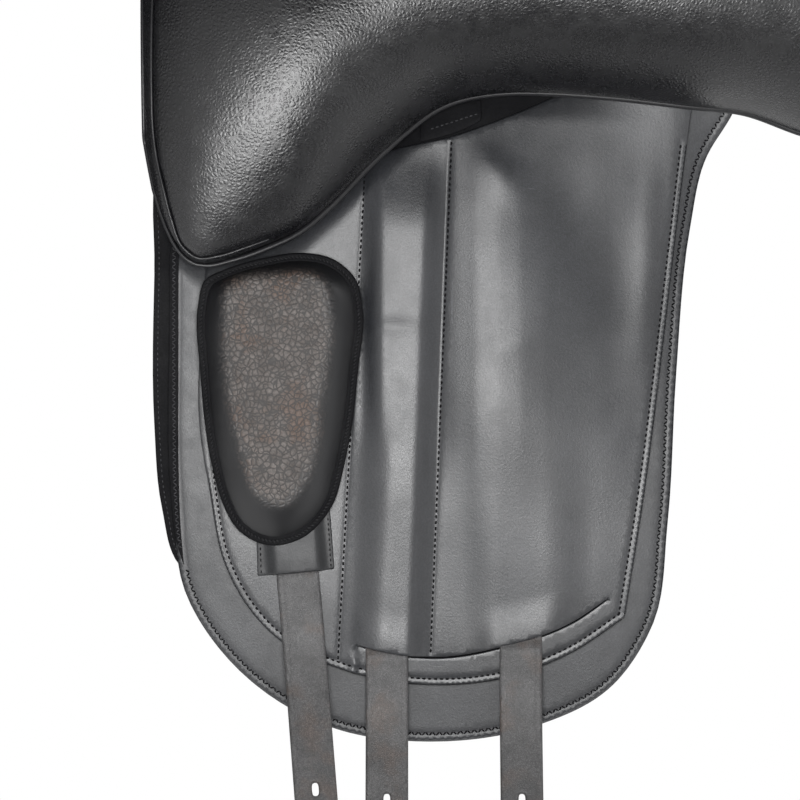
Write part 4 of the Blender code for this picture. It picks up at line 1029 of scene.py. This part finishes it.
def make_straps():
    half = STRAP_WIDTH / 2
    crease_u = half - 3.0 * MM
    for name, (x0, t0, lean, straight, length) in STRAPS.items():
        angle = math.atan(lean)
        head = -12 * MM if name == "front_strap" else -18 * MM

        def mapping(u, v, w):
            """A point u across the strap, v along it from its joint, w out of it. The head is skived thin."""
            turned = np.clip((v - straight) / STRAP_BEND, 0, STRAP_TURN)
            rest = np.maximum(v - straight - STRAP_BEND * STRAP_TURN, 0)
            w = w * (1 - 0.62 * step(0.0, -9 * MM, v))
            down = np.minimum(v, straight) + (STRAP_BEND + w) * np.sin(turned) + rest * np.cos(turned)
            out = (2.7 * MM * step(0.0, -10 * MM, v) + w * np.cos(turned)
                   - STRAP_BEND * (1 - np.cos(turned)) - rest * np.sin(turned))
            x = x0 + u * math.cos(angle) + down * math.sin(angle)
            t = t0 - u * math.sin(angle) + down * math.cos(angle)
            return place(x, t, STRAP_MID + out)

        def pressed(u):
            return 0.28 * MM * bell(np.abs(u), crease_u, 0.9 * MM)

        foot = [(half * math.cos(a) ** 0.8, length - 0.024 + 0.024 * math.sin(a))
                for a in np.linspace(0, math.pi / 2 - 1e-6, 12)]
        outline = np.array([(-half, head), (half, head), *foot, *[(-u, v) for u, v in reversed(foot[:-1])]])
        holes = [slot_outline(length - FIRST_HOLE - number * HOLE_PITCH) for number in range(HOLES)]
        creases = [np.array([(u, head + 4 * MM), (u, length - 26 * MM)]) for u in (-crease_u, crease_u)]
        strap = plate(name + "_leather_left", outline, lambda u, v, d: STRAP_THICK / 2 - pressed(u),
                      lambda u, v, d: pressed(u) - STRAP_THICK / 2, "strap_leather", pitch=3.0 * MM,
                      edge=1.1 * MM,
                      holes=holes, lines=[(c, 0.8 * MM) for c in creases], mapping=mapping)
        start, end = (Vector(mapping(np.float64(0), np.float64(v), np.float64(0))) for v in (-0.010, 0.010))
        both(strap, "", [name + "_left"],
             blend=(FLAP_GROUP, name + "_body_left", start, end))


def slot_outline(v):
    """A strap's hole round v: a slot with round ends."""
    def bent(value, power):
        return math.copysign(abs(value) ** power, value)

    angles = [2 * math.pi * k / 24 for k in range(24)]
    return np.array([(2.0 * MM * bent(math.cos(a), 0.6),
                      v + 4.25 * MM * bent(math.sin(a), 0.75)) for a in angles])


def make_webs():
    """The webs that carry the middle and rear straps inside the flap, following its shape."""
    half, head = 11 * MM, 0.030
    for name, x, foot in (("middle_web", MIDDLE_STRAP_X, 0.316), ("rear_web", REAR_STRAP_X, 0.311)):
        line = np.array([(x - half, head), (x + half, head), (x + half, foot), (x - half, foot)])
        cut(name + "_nylon", line, FLAP_IN - 2.5 * MM, FLAP_IN - 0.4 * MM, "web", "webbing",
            [name + "_left"],
            pitch=5 * MM, edge=0.6 * MM)


def make_block():
    outline = rounded(BLOCK_OUTLINE)
    back = FLAP_OUT + GAP
    cut("thigh_block_base", outline, back + 2.4 * MM, back, "black_matte", pitch=4 * MM, edge=1.0 * MM)
    seam = inner_loop(outline, 3.0 * MM)
    sew("thigh_block_back_stitches", seam, back + 0.2 * MM, "thread_grey", BLACK, pitch=3.2 * MM)
    sew("thigh_block_stitches", seam, back + 2.3 * MM, slot=BLACK, pitch=3.2 * MM, outward=True)

    def height(x, t, d):
        share = np.clip(d / (22 * MM), 0, 1)
        tall = 25 * MM * (0.80 + 0.20 * step(0.27, 0.05, t))
        return FLAP_OUT + 2.4 * MM + tall * np.sin(share * math.pi / 2) ** 0.75

    line = inset(resampled(outline, 3 * MM), 5.0 * MM)
    body = plate("thigh_block_body", line, height, FLAP_OUT + 2.2 * MM, None, pitch=5 * MM, edge=1.2 * MM)
    body = inflate(body, "thigh_block_cushion_left", "block_leather", 3.0, 4 * MM,
                   on_line(line, FLAP_OUT + 2.4 * MM),
                   4 * MM)
    both(body, FLAP_GROUP, ["thigh_block_left"])
    pipe = tube("thigh_block_piping_left", on_line(line, FLAP_OUT + 3.2 * MM), 1.5 * MM, "black_smooth",
                closed=True)
    both(pipe, FLAP_GROUP)


SKIRT_OUTLINE = [(0.1900, HINGE_T + 0.4 * MM, "corner"), (0.1860, -0.050), (0.150, 0.004), (0.060, 0.010),
                 (-0.040, -0.006), (-0.096, -0.045), (-0.1040, HINGE_T + 0.4 * MM, "corner")]


def make_skirt():
    outline = rounded(SKIRT_OUTLINE)
    path = rounded(SKIRT_OUTLINE, 8, closed=False)
    seams = [inner(path, outline, depth)[3:-3] for depth in (4.0 * MM, 8.5 * MM)]
    cut("skirt_leather", outline, lambda x, t, d: SKIRT_OUT - grooves(x, t, seams, 1.2 * MM, 0.35 * MM),
        SKIRT_IN,
        "skirt_leather", BLACK, ["skirt_left"], "skirt_body_left", pitch=4.5 * MM, edge=1.1 * MM,
        lines=[(s, 1.1 * MM) for s in seams])
    for number, line in enumerate(seams):
        sew(f"skirt_stitches_{number}", line, SKIRT_OUT - 0.25 * MM, "thread_grey", BLACK, "skirt_body_left",
            pitch=3.4 * MM, outward=True)


def down_flap(z):
    return (LINE_Z - z) / COS


def make_skirt_head():
    low = HINGE_T - 0.6 * MM
    xs = np.linspace(-0.104, 0.190, 15)
    top = np.minimum([down_flap(seat_point(x, 1)[2] - 7.0 * MM) for x in xs], low - 4.0 * MM)
    line = np.vstack([np.stack([xs, top], 1), [[0.190, low], [-0.104, low]]])
    cut("skirt_head_leather", line, SKIRT_OUT, SKIRT_IN, "skirt_leather", BLACK, ["skirt_head_left"],
        "saddle",
        pitch=4 * MM, edge=1.1 * MM)


def make_leather_loop():
    x0, t0, base = 0.020, 0.150, FLAP_OUT + GAP
    xs, ts = np.linspace(-0.020, 0.020, 41), np.linspace(-0.008, 0.008, 9)
    lift = np.interp(np.abs(xs), [0, 0.0115, 0.0150, 0.020], [4.4 * MM, 4.2 * MM, 0.25 * MM, 0.1 * MM])
    points = [on_flap(x0 + x, t0 + t, base + h) for t in ts for x, h in zip(xs, lift)]
    wide = len(xs)
    faces = [(j * wide + i, j * wide + i + 1, (j + 1) * wide + i + 1, (j + 1) * wide + i)
             for j in range(len(ts) - 1) for i in range(wide - 1)]
    obj = new_object("leather_loop_shape", mesh_of("loop", points, faces), "flap_leather")
    shell = obj.modifiers.new("thick", "SOLIDIFY")
    shell.thickness = LEATHER
    shell.offset = 1 if obj.data.polygons[0].normal.y > 0 else -1
    bevel = obj.modifiers.new("bevel", "BEVEL")
    bevel.width, bevel.segments, bevel.limit_method = 0.4 * MM, 2, "ANGLE"
    loop = solid(obj, "flap_leather")
    loop.name = "flap_loop_left"
    both(loop, FLAP_GROUP, ["leather_loop_left"])
    for number, x in enumerate((x0 - 0.0172, x0 + 0.0172)):
        sew(f"loop_stitches_{number}", np.array([(x, t0 - 0.007), (x, t0 + 0.007)]), base + 1.65 * MM,
            pitch=2.8 * MM, outward=True)


# ---------------------------------------------------------------- panels


def smooth(knots, x):
    """The value at x of a smooth curve through (x, value) knots, which are in rising order."""
    if x <= knots[0][0]:
        return knots[0][1]
    for i in range(len(knots) - 1):
        (x0, v0), (x1, v1) = knots[i], knots[i + 1]
        if x <= x1:
            before, after = knots[max(i - 1, 0)], knots[min(i + 2, len(knots) - 1)]
            slope0 = (v1 - before[1]) / (x1 - before[0])
            slope1 = (after[1] - v0) / (after[0] - x0)
            span = x1 - x0
            u = (x - x0) / span
            return (v0 * (1 + 2 * u) * (1 - u) ** 2 + v1 * u * u * (3 - 2 * u)
                    + span * (slope0 * u * (1 - u) ** 2 - slope1 * u * u * (1 - u)))
    return knots[-1][1]


PANEL_LOW_T = mm(
    (-253, -60), (-246, -30), (-236, 0), (-222, 18), (-200, 26), (-160, 17), (-125, 5), (-90, 1),
    (-40, -4.5), (10, -7), (40, -4), (60, 3), (80, 18), (100, 36), (120, 57), (140, 74.5), (160, 84.5),
    (183, 92.5), (202, 95), (216, 84), (228, 54), (235, 18))
PANEL_LOW_IN = mm(
    (-253, 90), (-246, 62), (-236, 36), (-222, 18), (-200, 6), (-150, 6), (-110, 11.5), (-60, 12.5),
    (100, 13), (160, 14.5), (235, 16))
PANEL_GULLET_Y = mm(
    (-253, 46), (-240, 40), (-220, 35), (-190, 33), (60, 34), (140, 40), (200, 52), (228, 72), (235, 95))
PANEL_GULLET_Z = mm(
    (-253, 44), (-240, 28), (-220, 14), (-150, 3), (0, 4), (80, 10), (140, 24), (200, 38), (228, 30),
    (235, 5))
PANEL_TOP_Z = mm(
    (-253, 130), (-230, 124), (-200, 110), (-150, 74), (-100, 52), (0, 44), (100, 40), (140, 46), (203, 52),
    (208.5, 88), (217, 84), (228, 56), (235, 20))
PANEL_BULGE = mm(
    (-253, 6), (-240, 14), (-180, 20), (0, 16), (80, 18), (140, 24), (190, 22), (228, 12), (235, 4))
PANEL_BACK_Y = mm(
    (-253, 53), (-246, 72), (-236, 97), (-222, 116), (-200, 127), (-170, 121), (-148, 99), (-130, 92.5),
    (-100, 92.5), (0, 95), (100, 90), (203, 84), (217, 78), (228, 88), (235, 99))
PANEL_BACK_Z = mm(
    (-253, 133), (-246, 136), (-236, 131), (-222, 124), (-200, 117), (-170, 106), (-148, 80), (-130, 60),
    (-100, 46), (0, 43), (100, 38), (160, 40), (203, 50), (208.5, 84), (217, 80), (228, 54), (235, 18))


PANEL_EDGE = np.array(PANEL_LOW_T[7:20])  # where it lies over the flap
FACE_STEPS = 24


def panel_section(x):
    """The panel's outline at x: face from the gullet to the lower edge, side, back and gullet side."""
    t, k = smooth(PANEL_LOW_T, x), -smooth(PANEL_LOW_IN, x)
    low = Vector((LINE_Y + t * SIN + k * COS, LINE_Z - t * COS + k * SIN))
    gullet = Vector((smooth(PANEL_GULLET_Y, x), smooth(PANEL_GULLET_Z, x)))
    back = Vector((smooth(PANEL_BACK_Y, x), smooth(PANEL_BACK_Z, x)))
    top = Vector((gullet.x + 0.002, max(smooth(PANEL_TOP_Z, x), gullet.y + 0.006)))
    along = (low - gullet).normalized()
    normal = Vector((along.y, -along.x))
    bulge = smooth(PANEL_BULGE, x)
    face = []
    for number in range(FACE_STEPS + 1):
        share = number / FACE_STEPS
        face.append(gullet.lerp(low, share) + normal * bulge * math.sin(math.pi * share) ** 0.7)
    edge = low - normal * 5 * MM
    outline = [*face, edge]
    outline += [edge.lerp(back, s) for s in np.linspace(0, 1, 12)[1:]]
    outline += [back.lerp(top, s) for s in np.linspace(0, 1, 7)[1:]]
    outline += [top.lerp(gullet, s) for s in np.linspace(0, 1, 5)[1:-1]]
    return [Vector((x, p.x, p.y)) for p in outline]


def make_panel():
    """The stuffed panel: a body that swells between its seams, and the welts of its front gusset and edge."""
    stations = [-0.253, -0.2515, -0.249, -0.246, -0.242, -0.238, -0.233, -0.228,
                *np.arange(-0.222, 0.2, 0.0055),
                0.203, 0.206, 0.2085, 0.2115, 0.2145, 0.218, 0.222, 0.2255, 0.229, 0.232, 0.2345]
    rings = [panel_section(float(x)) for x in stations]
    count = len(rings[0])
    points = [p for ring in rings for p in ring]
    faces = []
    for first in range(0, len(points) - count, count):
        for i in range(count):
            j = (i + 1) % count
            faces.append((first + i, first + j, first + count + j, first + count + i))
    for first, flip in ((0, True), (len(points) - count, False)):
        hub = len(points)
        points.append(sum(rings[-1 if first else 0], Vector()) / count)
        for i in range(count):
            a, b = first + i, first + (i + 1) % count
            faces.append((a, hub, b) if flip else (a, b, hub))
    pins = np.array([p[:] for r in rings for p in (r[0], r[FACE_STEPS], r[FACE_STEPS + 1])])
    panel = new_object("panel_body", closed_mesh("panel", points, faces), None)
    panel = inflate(panel, "panel_leather_left", "panel_leather", 1.6, 2.4 * MM, pins, 1.5 * MM)
    surface = BVHTree.FromObject(panel, bpy.context.evaluated_depsgraph_get())
    hits = [surface.ray_cast(point(x, t, -0.25), Vector((0, COS, SIN)))[:2]
            for x, t in resampled(PANEL_SEAM, 2 * MM, closed=False)]
    seam = [(spot, normal) for spot, normal in hits if spot is not None]
    sink_at(panel, [spot for spot, _ in seam], 1.2 * MM, 2.4 * MM)
    welt = tube("panel_front_welt_left", [p - n * 0.1 * MM for p, n in seam], 0.95 * MM, "black_smooth")
    both(welt, "saddle")
    edge = [(r[FACE_STEPS] + r[FACE_STEPS + 1]) / 2 for r in rings]
    path = resampled(np.array([p[:] for p in [*edge, *rings[-1][FACE_STEPS - 1::-1]]]), 3 * MM, closed=False)
    shares = np.interp(path[:, 0], [0.150, 0.205], [1.0, 0.55])
    welt = tube("panel_edge_welt_left", path, 2.3 * MM, "black_smooth", sides=5, shares=shares)
    both(welt, "saddle")
    both(panel, "saddle", ["panel_cover_left", "panel_flock_left"])


PANEL_SEAM_KNOTS = mm(
    (227.5, -72), (228.5, -45), (229, -10), (228.5, 15), (226.8, 30), (222.5, 50), (218, 68), (212, 83.5),
    (203, 90.5), (190, 89.5), (174, 84.5), (160, 79.5))
PANEL_SEAM = rounded(PANEL_SEAM_KNOTS, 10, closed=False)


def sink_at(obj, path, depth, reach):
    """Presses a seam into a soft piece."""
    co, normals = (np.array([getattr(v, key)[:] for v in obj.data.vertices]) for key in ("co", "normal"))
    near = nearest_gap(co, np.array([p[:] for p in path]))
    co -= normals * (depth * np.exp(-((near / reach) ** 2)))[:, None]
    obj.data.vertices.foreach_set("co", co.ravel())
    obj.data.update()


def keep_on_saddle(piece, replaced=None):
    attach(piece, "saddle")
    if replaced:
        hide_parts(replaced)


# ---------------------------------------------------------------- seat

SEAT_HALF_WIDTH = mm(
    (-248, 22), (-243, 60), (-230, 103), (-205, 137), (-170, 150), (-130, 143), (-80, 122), (-20, 106),
    (40, 101), (100, 93), (150, 84), (190, 71), (215, 53), (226, 30))
SEAT_CENTRE = mm(
    (-248, 236), (-243, 243), (-230, 238), (-205, 213), (-170, 180), (-130, 152), (-80, 134), (-20, 130),
    (40, 137), (100, 160), (150, 188), (190, 200), (215, 190), (226, 170))
SEAT_EDGE = mm(
    (-248, 150), (-230, 134), (-170, 112), (-80, 88), (-20, 84), (40, 91), (100, 106), (150, 125),
    (190, 142), (226, 152))
SEAT_DISH = mm((-243, 0), (-205, 14), (-170, 20), (-130, 16), (-80, 6), (-20, 0))
SQUARENESS = 2 / 2.6


def seat_point(x, share):
    width, top, low = smooth(SEAT_HALF_WIDTH, x), smooth(SEAT_CENTRE, x), smooth(SEAT_EDGE, x)
    angle = abs(share) * math.pi / 2
    y = math.copysign(width * math.sin(angle) ** SQUARENESS, share)
    hollow = smooth(SEAT_DISH, x) * math.sin(angle) ** 2 * math.cos(angle) ** 0.5
    z = low + (top - low) * max(math.cos(angle), 0.0) ** SQUARENESS + hollow
    return Vector((x, y, z))


def make_seat():
    """The padded seat: one leather skin, a seam down each side, a welt round its edge."""
    stations = [-0.248, -0.2472, -0.2455, -0.243, -0.240, -0.236, -0.230, -0.224,
                *np.arange(-0.217, 0.2, 0.006),
                0.204, 0.209, 0.213, 0.217, 0.2205, 0.2235, 0.226]
    steps_half = 26
    shares = [math.copysign(abs(i / steps_half) ** 0.9, i) for i in range(-steps_half, steps_half + 1)]
    seam_share = 0.60
    points, faces = [], []
    for x in map(float, stations):
        ends = float(step(0.216, 0.196, x) * step(-0.240, -0.222, x))
        for share in shares:
            p = seat_point(x, share)
            press = 2.0 * MM * bell(abs(share), seam_share, 0.022) * ends
            puff = 1.2 * MM * (1 - bell(abs(share), seam_share, 0.16)) * float(step(0.22, 0.19, x))
            points.append(p + Vector((0, -p.y, 0.10 - p.z)).normalized() * (press - 0.35 * puff))
    wide = len(shares)
    for j in range(len(stations) - 1):
        for i in range(wide - 1):
            faces.append((j * wide + i, j * wide + i + 1, (j + 1) * wide + i + 1, (j + 1) * wide + i))
    for row, flip in ((0, True), (len(stations) - 1, False)):
        ring = [row * wide + i for i in range(wide)]
        middle = sum((points[i] for i in ring), Vector()) / wide
        hub = len(points)
        points.append(Vector((middle.x + (-3 * MM if flip else 3 * MM), 0, middle.z)))
        pairs = list(zip(ring, ring[1:])) + [(ring[-1], ring[0])]
        faces += [(b, a, hub) if flip else (a, b, hub) for a, b in pairs]
    obj = new_object("seat_shape", closed_mesh("seat", points, faces), "seat_leather")
    if sum(p.normal.z for p in obj.data.polygons) < 0:
        obj.data.flip_normals()
    shell = obj.modifiers.new("thick", "SOLIDIFY")
    shell.thickness, shell.offset = 1.6 * MM, -1
    seat = solid(obj, "seat_leather")
    seat.name = "seat_leather_skin"
    keep_on_saddle(seat, "seat_cover")
    for side, sign in zip(SIDES, (1, -1)):
        line = [seat_point(float(x), sign * seam_share) + Vector((0, 0, -0.3 * MM))
                for x in np.arange(-0.228, 0.2081, 0.004)]
        keep_on_saddle(tube(f"seat_seam_{side}", line, 1.1 * MM, "black_smooth"))
    rim = [seat_point(float(x), 1) + Vector((0, -1.0 * MM, -2.9 * MM))
           for x in (-0.2475, -0.2455, -0.242, -0.237, -0.230, -0.220, *np.arange(-0.21, 0.2, 0.01), 0.205,
                     0.212,
                     0.218, 0.2225, 0.2252)]
    rim += [across_y(p) for p in reversed(rim)]
    keep_on_saddle(tube("seat_edge_welt", rim, 2.0 * MM, "black_smooth", closed=True, sides=4), "seat_welt")


# ---------------------------------------------------------------- metal and hidden pieces


def make_metal():
    """Repaints the CAD's own metal and hidden pieces, and makes the dee ring and the domed nail."""
    by_material = {
        "steel_forged": ["gullet_plate", "cantle_plate",
                         *(f"{n}_{s}" for n in ("stirrup_bar", "bar_catch") for s in SIDES)],
        "steel_bright": [f"dee_staple_{s}" for s in SIDES],
        "beech": ["tree", *(f"tree_point_{s}" for s in SIDES)],
        "web_black": [f"front_web_{s}" for s in SIDES],
        "web": ["seat_web"],
        "foam": ["seat_foam"],
        "black_smooth": ["gullet_lining"],
    }
    for material, names in by_material.items():
        for name in names:
            repaint(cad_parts[name], material)
    half, wire = 11 * MM, 1.7 * MM
    z = down_flap(0.112)
    bowed = [(half * math.cos(a), 0.004 + 0.013 * math.sin(a)) for a in np.linspace(0, math.pi, 25)]
    outline = [*[(u, 0.0) for u in np.linspace(-half, half, 9)], *bowed]
    points = [point(0.170 + x, z + t, SKIRT_OUT + 3.2 * MM) for x, t in outline]
    dee = tube("dee_ring_steel_left", points, wire, "steel_bright", closed=True, sides=6)
    both(dee, "dee_ring_body_left", ["dee_ring_left"])
    body = bmesh.new()
    bmesh.ops.create_uvsphere(body, u_segments=32, v_segments=20, radius=5 * MM)
    bmesh.ops.bisect_plane(body, geom=body.verts[:] + body.edges[:] + body.faces[:], plane_co=(0, 0, 0),
                           plane_no=(0, 0, -1), clear_outer=True)
    bmesh.ops.holes_fill(body, edges=[e for e in body.edges if e.is_boundary], sides=0)
    bmesh.ops.scale(body, vec=(1, 1, 0.7), verts=body.verts)
    turn = Matrix.Rotation(TILT - math.pi / 2, 4, "X")
    body.transform(Matrix.Translation(point(0.182, down_flap(0.124), SKIRT_OUT + GAP)) @ turn)
    mesh = bpy.data.meshes.new("nail")
    body.to_mesh(mesh)
    body.free()
    mesh.shade_smooth()
    both(new_object("saddle_nail_left", mesh, "steel_bright"), "saddle", ["front_nail_left"])


def repaint(obj, material):
    if obj.data.materials:
        for i in range(len(obj.data.materials)):
            obj.data.materials[i] = MATERIALS[material]
    else:
        obj.data.materials.append(MATERIALS[material])


# ---------------------------------------------------------------- build

SLIT_LINE = rounded(SLIT, 10, closed=False)
SLIT_LINE = SLIT_LINE[np.argsort(-SLIT_LINE[:, 0])]
FAR_ONLY = bpy.data.collections.new("far_half")
FLAP_SIDE = bpy.data.collections.new("far_flap")
PANEL_SIDE = bpy.data.collections.new("far_panel")
FLOOR_ONLY = bpy.data.collections.new("floor_only")

make_materials()
make_stage()
make_flap()
make_facings()
make_lining()
make_pad()
make_keeper()
make_straps()
make_webs()
make_block()
make_skirt()
make_skirt_head()
make_leather_loop()
make_panel()
make_seat()
make_metal()

for piece in list(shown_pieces()):
    if piece.name.endswith("_right"):
        FAR_ONLY.objects.link(piece)
        (PANEL_SIDE if piece.name.startswith("panel") else FLAP_SIDE).objects.link(piece)
